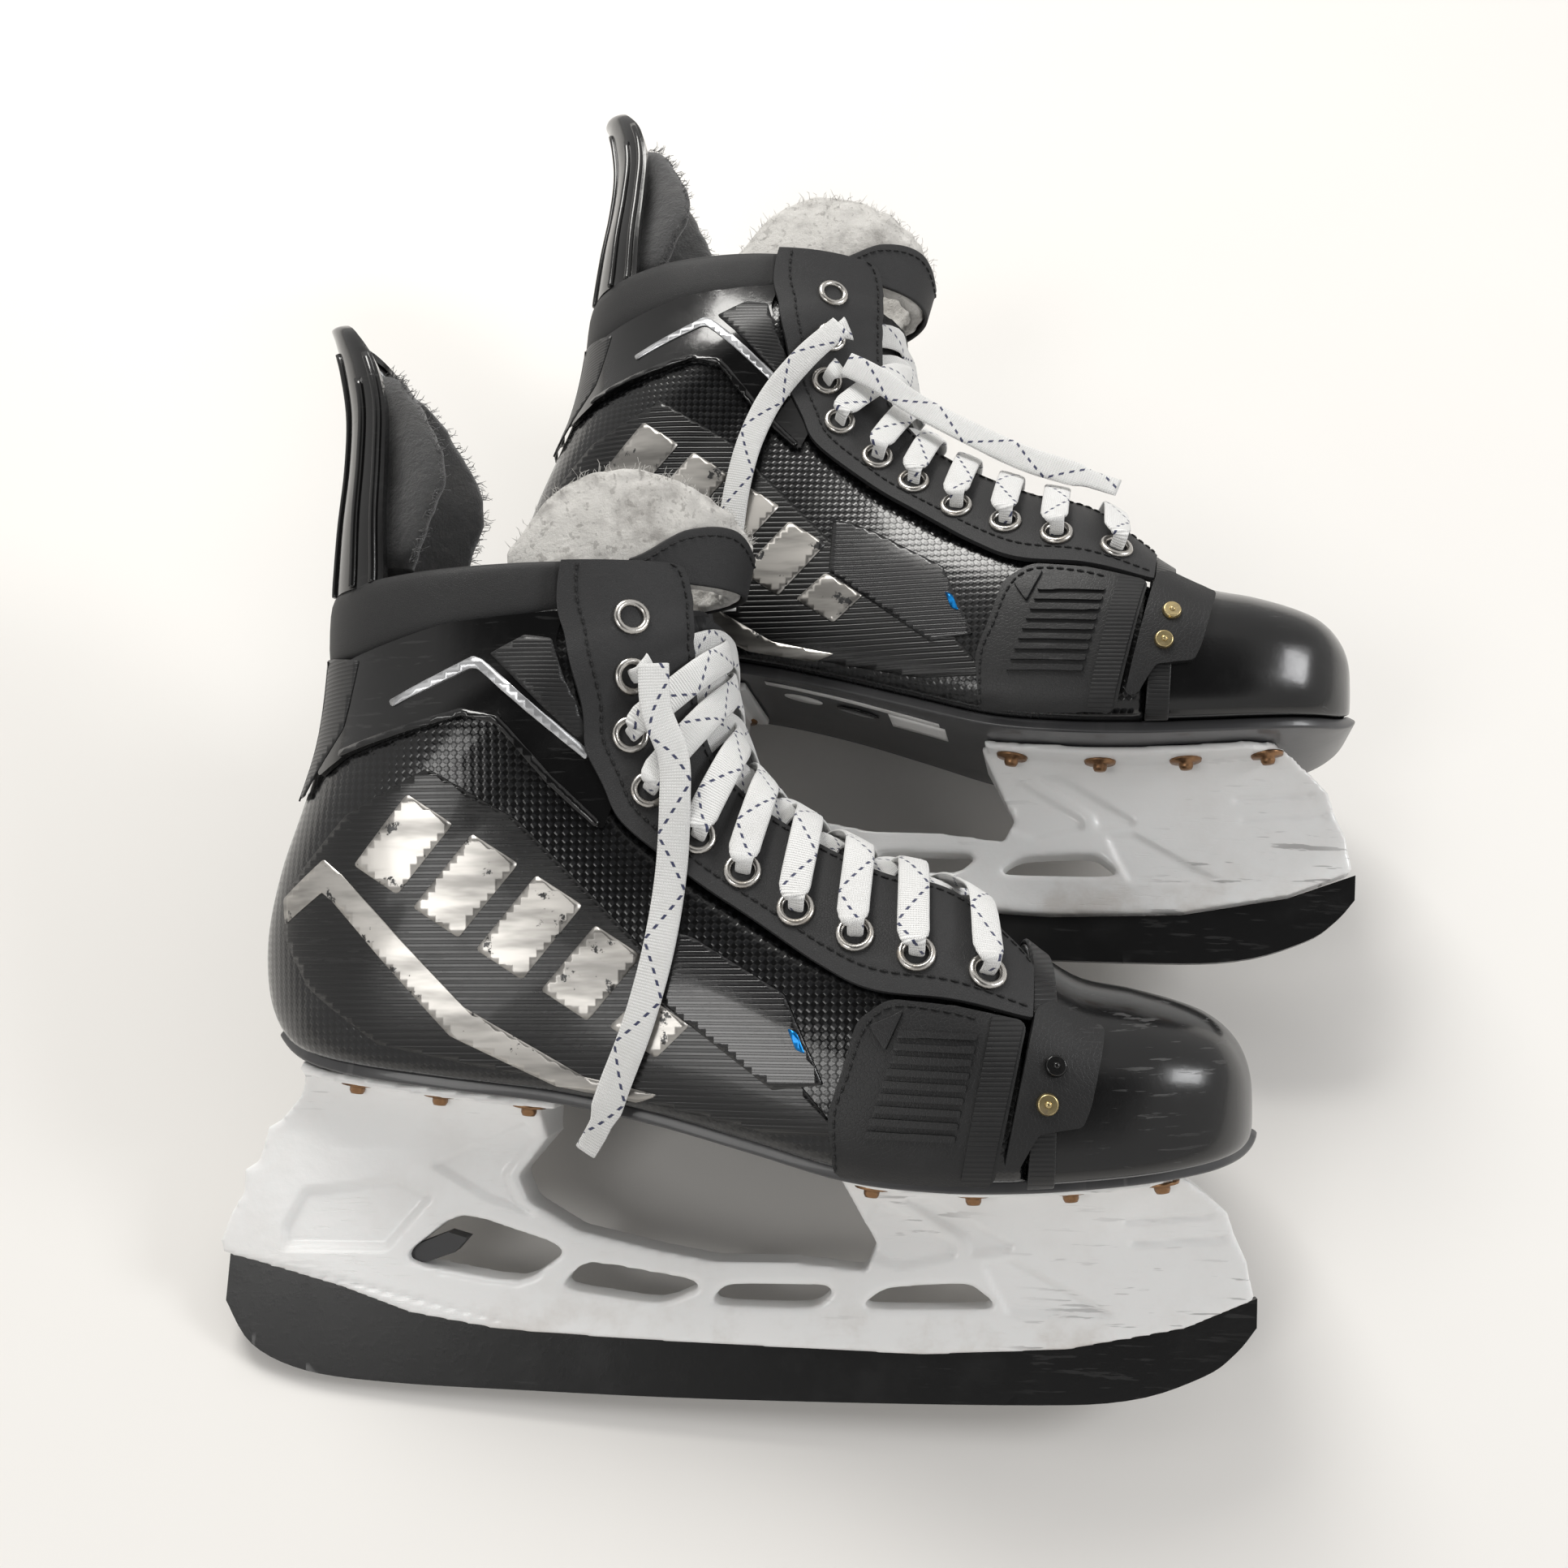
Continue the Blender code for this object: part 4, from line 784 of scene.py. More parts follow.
# %% [markdown]
# ## Laces first
# A flat lace keeps its width and bends only across its thin side. Each point of its path carries the
# direction of its width. The section is a flattened ring, so its edges are soft, and the free ends are
# pinched into short stiff tips.


# %% Flat ribbons
def ribbon(path, ring=10):
    """A flat lace along rows of (point, width direction, width, thickness)."""
    count = len(path)
    lengths = [0.0]
    for before, after in zip(path, path[1:]):
        lengths.append(lengths[-1] + (after[0] - before[0]).length)
    normals = []
    acrosses = []
    for i, (point, across, width, thickness) in enumerate(path):
        tangent = (path[min(i + 1, count - 1)][0] - path[max(i - 1, 0)][0]).normalized()
        across = (across - tangent * across.dot(tangent)).normalized()
        acrosses.append(across)
        normals.append(tangent.cross(across))

    def corner(s, t):
        i = round(s * (count - 1))
        point, _, width, thickness = path[i]
        angle = t * 2 * pi
        wide = width / 2 * bulge(cos(angle), 0.55)
        high = thickness / 2 * bulge(sin(angle), 0.75)
        return point + acrosses[i] * wide + normals[i] * high

    bm = bmesh.new()
    bmesh.ops.create_grid(bm, x_segments=count - 1, y_segments=ring, size=0.5)
    half = max(vert.co.x for vert in bm.verts)
    run = bm.verts.layers.float_vector.new("run")
    for vert in bm.verts:
        s, t = vert.co.x / half / 2 + 0.5, vert.co.y / half / 2 + 0.5
        i = round(s * (count - 1))
        vert.co = corner(s, t)
        vert[run] = ((vert.co - path[i][0]).dot(acrosses[i]), lengths[i], 0)
    return closed(bm)


def curved(points, steps):
    """Points on a smooth curve through others, with steps between each two."""
    total = (len(points) - 1) * steps
    return [Vector(smooth(points, i / steps)) for i in range(total + 1)]


# %% [markdown]
# The free ends lie where they fell.

# %% The free ends, as cords
LACE_ENDS = {
    "right_lace_end": [
        (-0.0440, -0.0585, 0.1342), (-0.0430, -0.0700, 0.1295), (-0.0385, -0.0810, 0.1242),
        (-0.0380, -0.0920, 0.1188), (-0.0390, -0.1080, 0.1092), (-0.0420, -0.1260, 0.1018),
        (-0.0470, -0.1430, 0.0937), (-0.0530, -0.1560, 0.0845), (-0.0570, -0.1640, 0.0770),
        (-0.0614, -0.1690, 0.0700),
    ],
    "left_lace_end_upper": [
        (0.0090, 0.0903, 0.1162), (-0.0020, 0.0815, 0.1120), (-0.0130, 0.0700, 0.1056),
        (-0.0200, 0.0560, 0.1006), (-0.0240, 0.0420, 0.0955), (-0.0262, 0.0280, 0.0900),
        (-0.0272, 0.0140, 0.0845), (-0.0275, 0.0020, 0.0800),
    ],
    "left_lace_end_lower": [
        (0.0105, 0.0782, 0.1113), (0.0200, 0.0730, 0.1100), (0.0340, 0.0640, 0.1062),
        (0.0500, 0.0540, 0.1045), (0.0660, 0.0440, 0.1040), (0.0800, 0.0365, 0.1052),
        (0.0940, 0.0300, 0.1055),
    ],
}
LACE_END_FACE = Vector((0, -0.33, 0.94)).normalized()
LACE_TIP = 0.014


def lace_end(name, points):
    """One free end with its crimped tip."""
    line = curved(points, 8)
    remaining = [0.0]
    for before, after in zip(line[::-1], line[-2::-1]):
        remaining.append(remaining[-1] + (after - before).length)
    remaining = remaining[::-1]
    rows = []
    for i, point in enumerate(line):
        ahead = line[min(i + 1, len(line) - 1)] - line[max(i - 1, 0)]
        across = LACE_END_FACE.cross(ahead).normalized()
        twist = 0.10 * sin(i * 0.21 + len(points))
        across = (across + LACE_END_FACE * twist).normalized()
        pinch = min(max(remaining[i] - LACE_TIP + 0.004, 0) / 0.004, 1)
        rows.append((point, across, LACE_WIDTH * (0.72 + 0.28 * pinch), LACE_THICKNESS * (0.9 + 0.1 * pinch)))
    bm = ribbon(rows)
    hand = name.split("_")[0]
    piece = make_piece(f"{name}_webbing", bm, WEBBING, f"{hand}_boot", "lace_webbing", (name,))
    bm.free()


for end_name, end_points in LACE_ENDS.items():
    lace_end(end_name, end_points)

# %% [markdown]
# The lace of each boot runs from the lowest pair of eyelets upwards. Each strand comes out of an
# eyelet, lies over the facing's edge, crosses the tongue and goes under the other facing, up through
# the next hole. One side's strand goes over and the other's goes under at each crossing.

# %% The laces in their eyelets
EYELETS = [
    (20.87, 0.814), (17.50, 0.827), (14.69, 0.787), (13.03, 0.737), (11.69, 0.723),
    (10.78, 0.718), (9.98, 0.695), (9.24, 0.701), (8.456, 0.695), (7.58, 0.726),
]
EYELET_LINE = [(22.9, 0.80)] + EYELETS + [(6.7, 0.76)]
FACING_REAR = [
    (22.9, 0.66), (22.0, 0.648), (20.5, 0.686), (17.7, 0.736), (15.2, 0.715), (14.0, 0.692),
    (13.1, 0.655), (12.0, 0.636), (10.6, 0.62), (9.6, 0.58), (9.0, 0.565), (8.0, 0.59),
    (7.1, 0.655), (6.95, 0.67),
]
FACING_FRONT = [
    (22.9, 0.90), (22.4, 0.927), (19.5, 0.936), (15.6, 0.93), (13.3, 0.904), (12.2, 0.89),
    (11.0, 0.90), (9.6, 0.906), (9.0, 0.913), (8.2, 0.925), (7.2, 0.905), (6.95, 0.86),
]
FACING_LIFT = 0.0010
FACING_WALL = 0.0020
EYELET_LIFT = 0.0013
EYELET_RIM_WALL = 0.0008
LACE_PINCH = 0.0040
LACE_LAST = {"right": (1, 1), "left": (2, 1)}


def lace_chain(first_side, over, last):
    """One end of the lace, from the lowest eyelet up to the last one that it comes out of."""
    rows = []
    side = first_side
    lift = FACING_LIFT + FACING_WALL + EYELET_LIFT + EYELET_RIM_WALL + 0.0020
    for row in range(len(EYELETS) - 1, last - 1, -1):
        u, height = EYELETS[row]
        v = v_at(u, height)
        rate = (on_section(u, v, 1) - on_section(u, v - 0.02, 1)).length / 0.02
        near = 0.004 / rate
        if row < len(EYELETS) - 1:
            rows.append((u, v + near, side, -0.0024, 1.0))
        rows.append((u, v + near * 0.15, side, -0.0026, 0.0))
        rows.append((u, v, side, 0.0010, 0.0))
        rows.append((u, v + near * 0.15, side, lift, 0.1))
        if row == last:
            rows.append((u, v + near * 1.2, side, lift, 1.0))
            break
        next_u, next_height = EYELETS[row - 1]
        next_v = v_at(next_u, next_height)
        edge = v_at(u, straight(FACING_FRONT, u))
        next_edge = v_at(next_u, straight(FACING_FRONT, next_u))
        step = next_u - u
        rows.append((u + step * 0.08, v + near, side, lift, 1.0))
        rows.append((u + step * 0.22, edge, side, lift - 0.0006, 1.0))
        rows.append((u + step * 0.30, (edge + 1) / 2 + 0.05, side, 0.0022, 1.0))
        rows.append((u + step * 0.5, 1.0, side, 0.0009 if over else -0.0015, 1.0))
        side = -side
        rows.append((u + step * 0.72, (next_edge + 1) / 2 + 0.02, side, -0.0013, 1.0))
        rows.append((u + step * 0.85, next_edge - 0.02, side, -0.0015, 1.0))
    return rows


def lace_path(hand):
    """The lace's rows of point, width direction, width and thickness, smoothed."""
    low_u, low_height = EYELETS[-1]
    low_v = v_at(low_u, low_height)
    bar = [
        (low_u - 0.10, low_v + 0.08, LATERAL, -0.0022, 1.0), (low_u - 0.16, 0.9, LATERAL, -0.0026, 1.0),
        (low_u - 0.18, 1.0, MEDIAL, -0.0024, 1.0), (low_u - 0.16, 0.9, MEDIAL, -0.0026, 1.0),
        (low_u - 0.10, low_v + 0.08, MEDIAL, -0.0022, 1.0),
    ]
    lateral_last, medial_last = LACE_LAST[hand]
    rows = lace_chain(LATERAL, True, lateral_last)[::-1] + bar + lace_chain(MEDIAL, False, medial_last)
    points = [skin(u, v, side, out) for u, v, side, out, _ in rows]
    acrosses = []
    for i, (u, v, side, out, full) in enumerate(rows):
        normal = (skin(u, v, side, 0.001) - skin(u, v, side, 0)).normalized()
        far = points[min(i + 3, len(points) - 1)] - points[max(i - 3, 0)]
        near = points[min(i + 1, len(points) - 1)] - points[max(i - 1, 0)]
        flat = near - normal * near.dot(normal)
        if flat.length < 0.0015:
            flat = far - normal * far.dot(normal)
        across = normal.cross(flat).normalized()
        if full < 0.5 and acrosses:
            across = acrosses[-1]
        if acrosses and across.dot(acrosses[-1]) < 0:
            across.negate()
        acrosses.append(across)
    dense = curved(points, 4)
    turns = curved(acrosses, 4)
    widths = [LACE_PINCH + (LACE_WIDTH - LACE_PINCH) * row[4] for row in rows]
    path = []
    for i, (point, across) in enumerate(zip(dense, turns)):
        first = min(i // 4, len(widths) - 2)
        width = widths[first] + (widths[first + 1] - widths[first]) * (i / 4 - first)
        path.append((point, across.normalized(), width, LACE_THICKNESS))
    return path


for hand in ("right", "left"):
    place_pair("lace", ribbon(lace_path(hand)), WEBBING, "lace_webbing", nodes=("lace",), hands=(hand,))

# %% [markdown]
# ## The boot
# The shell is one sheet that wraps from one row of eyelets down, under the foot and up to the other.
# It gets its wall from Solidify. The toe cap is a tube on the same skin, closed at its tip.


# %% Shell, lining and toe cap
def eyelet_v(u):
    return v_at(u, straight(EYELET_LINE, u))


def shell_edge(u):
    v = eyelet_v(u)
    rate = (on_section(u, v, 1) - on_section(u, v - 0.02, 1)).length / 0.02
    return v - 0.0072 / rate


def wrapped(start, end, top, out, columns, sides=18, under=8):
    """A sheet round the boot between two stations."""
    rows = 2 * sides + under

    def place(s, t):
        u = start + (end - start) * s
        step = round(t * rows)
        edge = top(u)
        if step <= sides:
            return skin(u, edge + (-1 - edge) * step / sides, LATERAL, out)
        if step >= sides + under:
            return skin(u, -1 + (edge + 1) * (step - sides - under) / sides, MEDIAL, out)
        half = station(u)[2]
        return sole_point(u, -half + 2 * half * (step - sides) / under, out)

    return open_panel(columns, rows, place)


shell_bm = wrapped(6.95, 21.95, shell_edge, 0, 90)
place_pair("boot_shell", shell_bm, SHELL, "gloss_shell", nodes=("boot_shell",), wall=0.0024)
lining_bm = wrapped(7.0, 22.6, lambda u: shell_edge(min(u, 22.3)) - 0.05, -0.0034, 60)
place_pair("lining", lining_bm, LINING, "black_lining", nodes=("liner",), wall=0.0032, soft=0.9)


def toe_cap():
    def place(s, t):
        u = 6.9 * s**1.35
        if t <= 0.45:
            v = -1 + 2 * t / 0.45
            return skin(u, v, MEDIAL, 0.0008 if v > -1 else 0)
        if t <= 0.9:
            v = 1 - 2 * (t - 0.45) / 0.45
            return skin(u, v, LATERAL, 0.0008 if v > -1 else 0)
        half = station(u)[2]
        return sole_point(u, -half + 2 * half * (t - 0.9) / 0.1, 0)

    bm = rolled(44, 60, place)
    tip = [edge for edge in bm.edges if edge.is_boundary and edge.calc_length() < 0.01 and edge.verts[0].co.x > 0.125]
    bmesh.ops.holes_fill(bm, edges=tip, sides=0)
    bm.normal_update()
    return face_out(bm, lambda point: Vector((min(point.x, 0.11), 0, 0.085)))


place_pair("toe_cap", toe_cap(), TOE, "toe_plastic", nodes=("toe_cap",), wall=0.0021)


def cap_band(low_u, high_u, lift):
    def place(s, t):
        v = -0.9 + 3.8 * t
        return skin(low_u + (high_u - low_u) * s, v, LATERAL, lift)

    return open_panel(5, 70, place)


place_pair("toe_cap_seam", cap_band(6.55, 6.93, 0.0019), RIBBED, "toe_plastic", wall=0.0013, bevel=0.0004)
print("boot shell, lining and toe cap made")

# %% [markdown]
# The collar is a padded roll. Its section is a flattened ring that is carried round the heel, so it is
# crowned on top and thins where it meets the facings.


# %% Collar, sole and footbed
def collar_roll():
    def place(s, t):
        angle = 2 * pi * t
        wide = bulge(cos(angle), 0.7)
        tall = bulge(sin(angle), 0.8)
        fade = min(1, 0.35 + 4 * min(s, 1 - s))
        u = 22.47 + 0.55 * tall
        front = v_at(u, 0.66)
        share = 2 * s
        if share <= 1:
            side, v = LATERAL, front + (-1 - front) * share
        else:
            side, v = MEDIAL, -1 + (front + 1) * (share - 1)
        return skin(u, v, side, -0.0030 + 0.0046 * wide * fade)

    return closed(rolled(90, 24, place))


place_pair("collar_roll", collar_roll(), PAD, "collar_leather", nodes=("collar_pad",), soft=0.8)


def sole_sheet(start, end, grow, depth, columns, rows=8):
    def place(s, t):
        u = start + (end - start) * s
        half = station(u)[2] + grow
        return sole_point(u, -half + 2 * half * t, depth)

    bm = rolled(columns, rows, place, join=False)
    bm.normal_update()
    if sum(face.normal.z for face in bm.faces) < 0:
        bmesh.ops.reverse_faces(bm, faces=bm.faces)
    return bm


place_pair(
    "sole_board", sole_sheet(0.9, 16.0, -0.0022, 0.0000, 80), BOARD, "grey_outsole", nodes=("outsole",),
    wall=0.0036, bevel=0.0008,
)
LABEL, label_tree, label_shader = finish("blank_label", 0.45)
label_soil = use(label_tree, SOIL, Vector=drawn(label_tree), Scale=90.0, Amount=0.4)
label_tone = blended(label_tree, label_soil, (0.80, 0.79, 0.78, 1), (0.55, 0.53, 0.51, 1))
wire(label_tree, label_tone, label_shader.inputs["Base Color"])


def sole_patch(u, across, reach, half, depth, segments=4):
    """A small flat shape stuck under the arch. Four segments give a rectangle, more an ellipse."""
    bm = bmesh.new()
    if segments == 4:
        bmesh.ops.create_grid(bm, x_segments=6, y_segments=4, size=1)
    else:
        bmesh.ops.create_circle(bm, cap_ends=True, segments=segments, radius=1)
    for vert in bm.verts:
        vert.co = sole_point(u + reach * vert.co.x, (across + half * vert.co.y) * MM, depth)
    bm.normal_update()
    if sum(face.normal.z for face in bm.faces) > 0:
        bmesh.ops.reverse_faces(bm, faces=bm.faces)
    return bm


for title, spot, material in (
    ("sticker", (9.95, 14, 0.36, 6.5, 0.0040), LABEL),
    ("long_label", (10.75, 23.2, 1.1, 1.6, 0.0040), LABEL),
    ("round_label", (11.45, 13, 0.24, 3.4, 0.0040, 28), LABEL),
    ("slot_rim", (10.75, 13, 0.28, 3.2, 0.0042, 28), GLOSS),
    ("slot_floor", (10.75, 13, 0.22, 1.9, 0.0045, 28), LINING),
):
    place_pair(f"outsole_{title}", sole_patch(*spot), material, "grey_outsole", hands=("left",), wall=0.0003)
footbed_bm = sole_sheet(7.2, 14.6, -0.0072, -0.0098, 30)
place_pair("footbed", footbed_bm, LINING, "black_lining", nodes=("footbed",), wall=0.0022)

# %% [markdown]
# ## Facings and eyelets
# The facing is the matte leather strip that carries the eyelets. It is ruled between two curves on the
# skin. Its stitches are real threads, because they catch the light along the whole edge.


# %% Facings with their stitches
FACING_TOP = FACING_LIFT + FACING_WALL
STITCH_ROWS = (0.13, 0.93)

for side, word in SIDES:
    facing_bm = open_panel(110, 12, lambda s, t: between(FACING_REAR, FACING_FRONT, s, t, side, FACING_TOP))
    place_pair(
        f"facing_{word}", facing_bm, LEATHER, "matt_leather", nodes=(f"facing_{word}",), wall=0.0019, bevel=0.0007
    )
    stitches = bmesh.new()
    for share in STITCH_ROWS:
        thread_run(
            [between(FACING_REAR, FACING_FRONT, s, share, side, FACING_TOP + 0.0002) for s in spaced(0.01, 0.99, 160)],
            stitches,
        )
    place_pair(f"facing_stitches_{word}", stitches, THREAD, "matt_leather")

# %% [markdown]
# An eyelet is a rolled metal rim. A small circle spun round the hole's axis makes the rim, and a short
# line spun the same way makes the barrel inside.


# %% Eyelets
RIM_RADIUS = 0.0041
RIM_TUBE = 0.00105


def eyelet_ring(steps=22):
    bm = bmesh.new()
    circle = bmesh.ops.create_circle(
        bm, cap_ends=False, segments=9, radius=RIM_TUBE,
        matrix=Matrix.Translation((RIM_RADIUS, 0, 0)) @ Matrix.Rotation(pi / 2, 4, "X"),
    )
    ring_edges = bm.edges[:]
    barrel = [bm.verts.new((RIM_RADIUS - RIM_TUBE, 0, z)) for z in (0, -0.0032)]
    edge = bm.edges.new(barrel)
    bmesh.ops.spin(
        bm, geom=circle["verts"] + ring_edges + barrel + [edge], cent=(0, 0, 0), axis=(0, 0, 1), dvec=(0, 0, 0),
        angle=2 * pi, steps=steps, use_merge=True, use_normal_flip=False, use_duplicate=False,
    )
    bmesh.ops.remove_doubles(bm, verts=bm.verts, dist=1e-6)
    bmesh.ops.recalc_face_normals(bm, faces=bm.faces)
    return bm


ring_bm = eyelet_ring()
ring_mesh = bpy.data.meshes.new("one_eyelet")
ring_bm.to_mesh(ring_mesh)
ring_bm.free()
for side, word in SIDES:
    rims = bmesh.new()
    for u, height in EYELETS:
        v = v_at(u, height)
        base = skin(u, v, side, FACING_LIFT + FACING_WALL + 0.0003)
        normal = (skin(u, v, side, 0.01) - skin(u, v, side, 0)).normalized()
        before = len(rims.verts)
        rims.from_mesh(ring_mesh)
        rims.verts.ensure_lookup_table()
        bmesh.ops.transform(rims, verts=rims.verts[before:], matrix=Matrix.Translation(base) @ stood(normal))
    place_pair(f"eyelets_{word}", rims, RIM, "eyelet_metal", nodes=(f"eyelets_{word}",))
bpy.data.meshes.remove(ring_mesh)
print("facings and eyelets made")

# %% [markdown]
# ## Overlays and graphics
# Overlays are outlines thrown onto the skin from the side, like paper pressed onto a ball. A few
# tenths of a millimetre of lift are enough for foil, and one to three for rubber.

# %% Overlay outlines, in millimetres forward and up
GUARD = [(28, 106), (36, 111), (50, 109.5), (69.5, 105), (61, 67), (40, 67.5), (22, 69), (20.5, 83), (24, 93)]
GUARD_STRIP = [(61, 106.5), (68.5, 104.5), (60, 67.5), (53, 68)]
WEDGE = [(31, 104.5), (39.5, 108), (35, 98.5)]
WING = [
    (-120, 171), (-110, 176.5), (-76, 186), (-67, 184), (-54, 168), (-39.5, 155), (-37, 162), (-41, 178),
    (-49, 194), (-52, 206), (-50, 214), (-82, 211), (-118, 202), (-124, 192),
]
RIB_INSERT = [(-69, 202), (-60, 207), (-53, 206), (-49, 194), (-43, 181), (-47, 180)]
CHEVRON = [
    (-97, 190.5), (-73.5, 201.5), (-71, 200.6), (-43, 176), (-44.5, 174), (-72, 197.8), (-74, 198.2),
    (-96, 188.6),
]
LOWER_LINE = [
    (-112, 177.6), (-76, 187.4), (-66, 185.2), (-53, 169.6), (-40, 157.2), (-41.4, 155.8), (-54.5, 168),
    (-67, 183.4), (-76, 185.6), (-112, 175.8),
]
PANEL_LOWER = [
    (-129, 141), (-110, 160), (-86, 172), (-62, 158), (-22, 118), (8, 96), (24, 77), (4, 77.5), (-25, 84),
    (-60, 91), (-100, 99), (-122, 114), (-131, 128),
]
LONG_STRIPE = [
    (-131, 138), (-116.5, 148.5), (-110.5, 144), (-76, 109), (-44, 91), (-24, 86.5), (-30, 84.6), (-52, 88.6),
    (-80, 101.5), (-113.5, 137), (-117, 139.6), (-130, 131),
]
BADGE_SHAPE = [(-27, 131), (-15, 127), (9, 112.5), (19, 90), (6, 88.5), (-27, 113)]
BLUE_SLASH = [(10, 104), (12.4, 103), (14.6, 97.6), (12.2, 98.6)]
CLIP = [(71.5, 107.5), (75, 109), (89, 102), (84.5, 85), (82.5, 80.5), (72, 79), (67, 71), (63.5, 71)]
CLIP_RIVETS = [(76, 94.5), (74, 86)]
HEEL_FLAP = [(-139, 204), (-122, 206), (-108, 203), (-112, 184), (-126, 166), (-138, 168)]
BAR_ALONG, BAR_UP = Vector((0.84, -0.54)), Vector((0.54, 0.84))
BAR_HEIGHTS = [(12, 0), (12.5, 0), (12.5, 0), (11, -1), (6, -4)]


def side_bar(index):
    """One slanted bar of the row that runs down the panel."""
    tall, shift = BAR_HEIGHTS[index]
    middle = Vector((-93, 152)) + BAR_ALONG * 20.5 * index + BAR_UP * shift
    corners = [(-1, -1), (-1, 1), (1, 1), (1, -1)]
    return [tuple(middle + BAR_ALONG * (7.4 * i + 1.5 * j) + BAR_UP * tall * j) for i, j in corners]


SIDE_BARS = [side_bar(index) for index in range(len(BAR_HEIGHTS))]

for side, word in SIDES:
    guard_bm = thrown(GUARD, side, 0.0027, 2.0, 2.5)
    node = (f"forefoot_guard_{word}",)
    place_pair(f"forefoot_guard_{word}", guard_bm, RUBBER, "guard_rubber", nodes=node, wall=0.0022, bevel=0.0007)
    strip_bm = thrown(GUARD_STRIP, side, 0.0032, 2.0, 0.8)
    place_pair(f"guard_strip_{word}", strip_bm, RIBBED, "guard_rubber", wall=0.0008, bevel=0.0003)
    raised_ribs = bmesh.new()
    for i in range(9):
        z = 103.5 - 3.0 * i
        start = 38.5 - 1.9 * i * 0.55
        rib = [(start, z), (57.5 - 0.7 * i, z - 1.0), (57.2 - 0.7 * i, z - 2.6), (start - 0.4, z - 1.7)]
        add_to(raised_ribs, thrown(rib, side, 0.0036, 1.5, 0.5))
    place_pair(f"guard_ribs_{word}", raised_ribs, RUBBER, "guard_rubber", wall=0.0012, bevel=0.0003)
    wedge_bm = thrown(WEDGE, side, 0.0036, 1.5, 0.6)
    place_pair(f"guard_wedge_{word}", wedge_bm, RUBBER, "guard_rubber", wall=0.0012, bevel=0.0003)
    guard_thread = bmesh.new()
    edge_line = [(22.5, 70), (22.3, 83), (25.5, 92), (30, 104), (37, 109), (50, 107.8), (60, 105)]
    smooth_line = [smooth(edge_line, i / 10) for i in range((len(edge_line) - 1) * 10 + 1)]
    line = []
    for x, z in smooth_line:
        hit, normal = thrown_point(x * MM, z * MM, side)
        line.append(hit + normal * 0.0029)
    thread_run(line, guard_thread)
    place_pair(f"guard_stitches_{word}", guard_thread, THREAD, "guard_rubber")

    wing_bm = thrown(WING, side, 0.0017, 2.0, 1.5)
    node = (f"ankle_wing_{word}",)
    place_pair(f"ankle_wing_{word}", wing_bm, GLOSS, "gloss_shell", nodes=node, wall=0.0015, bevel=0.0005)
    for title, outline, material, lift in (
        ("rib_insert", RIB_INSERT, RIBBED, 0.0021),
        ("chevron", CHEVRON, CHROME_LINE, 0.0021),
        ("wing_line", LOWER_LINE, GLOSS, 0.0024),
        ("heel_flap", HEEL_FLAP, RIBBED, 0.0019),
        ("lower_panel", PANEL_LOWER, PANEL, 0.0004),
        ("long_stripe", LONG_STRIPE, SILVER, 0.0006),
        ("badge", BADGE_SHAPE, BADGE, 0.0007),
        ("blue_slash", BLUE_SLASH, BLUE, 0.0009),
    ):
        place_pair(f"{title}_{word}", thrown(outline, side, lift, 2.0, 0.6), material, "gloss_shell", wall=0.0005)
    bars = bmesh.new()
    for outline in SIDE_BARS:
        add_to(bars, thrown(outline, side, 0.0006, 2.0, 1.0))
    place_pair(f"silver_bars_{word}", bars, SILVER, "gloss_shell", wall=0.0005)

    clip_bm = thrown(CLIP, side, 0.0034, 2.0, 1.2)
    node = (f"toe_clip_{word}",)
    place_pair(f"toe_clip_{word}", clip_bm, RUBBER, "toe_plastic", nodes=node, wall=0.0026, bevel=0.0006)
    for index, (x, z) in enumerate(CLIP_RIVETS):
        tack = bmesh.new()
        hit, normal = thrown_point(x * MM, z * MM, side)
        turn = stood(normal)
        bmesh.ops.create_cone(
            tack, cap_ends=True, segments=24, radius1=0.0029, radius2=0.0025, depth=0.0014,
            matrix=Matrix.Translation(hit + normal * 0.0040) @ turn,
        )
        bmesh.ops.create_cone(
            tack, cap_ends=True, segments=16, radius1=0.0010, radius2=0.0006, depth=0.0008,
            matrix=Matrix.Translation(hit + normal * 0.0049) @ turn,
        )
        material = GLOSS if index == 0 and side == LATERAL else BRASS
        place_pair(f"clip_rivet_{word}_{index + 1}", tack, material, "toe_plastic", bevel=0.0003)
print("overlays made")

# %% [markdown]
# ## Tongue and tendon guard
# The tongue's upper part is thick felt with a leather cover on its front. It is bent round the shin,
# so it is drawn by its angle round the leg and its height. A little noise along the normals makes the
# felt lumpy, and short hairs along its edge make it look worn.

# %% Tongue
TONGUE_AXIS = -62
TONGUE_REACH = 55
TONGUE_HALF = 30
TONGUE_FOOT = 226
TONGUE_LEAN = 0.22
TONGUE_TOP = [
    (-97, 234), (-85, 249), (-72, 256), (-55, 256), (-30, 249), (0, 242),
    (30, 249), (55, 256), (72, 256), (85, 249), (97, 234),
]
COVER_TOP = [(-62, 231), (-45, 240), (-25, 242), (0, 237), (25, 242), (45, 240), (62, 231)]


def tongue_lower():
    def place(s, t):
        u = 8 + 13.2 * s
        edge = v_at(u, 0.80)
        return skin(u, edge + (2 - 2 * edge) * t, LATERAL, -0.0046)

    return open_panel(80, 26, place)


place_pair("tongue_lower", tongue_lower(), LEATHER, "black_lining", nodes=("tongue_lower",), wall=0.0036)


def leg_point(angle, height, out):
    lean = (height - TONGUE_FOOT) * TONGUE_LEAN
    reach = (TONGUE_REACH + lean) * MM + out
    return Vector((TONGUE_AXIS * MM + reach * cos(angle), (TONGUE_HALF * MM + out) * sin(angle), height * MM))


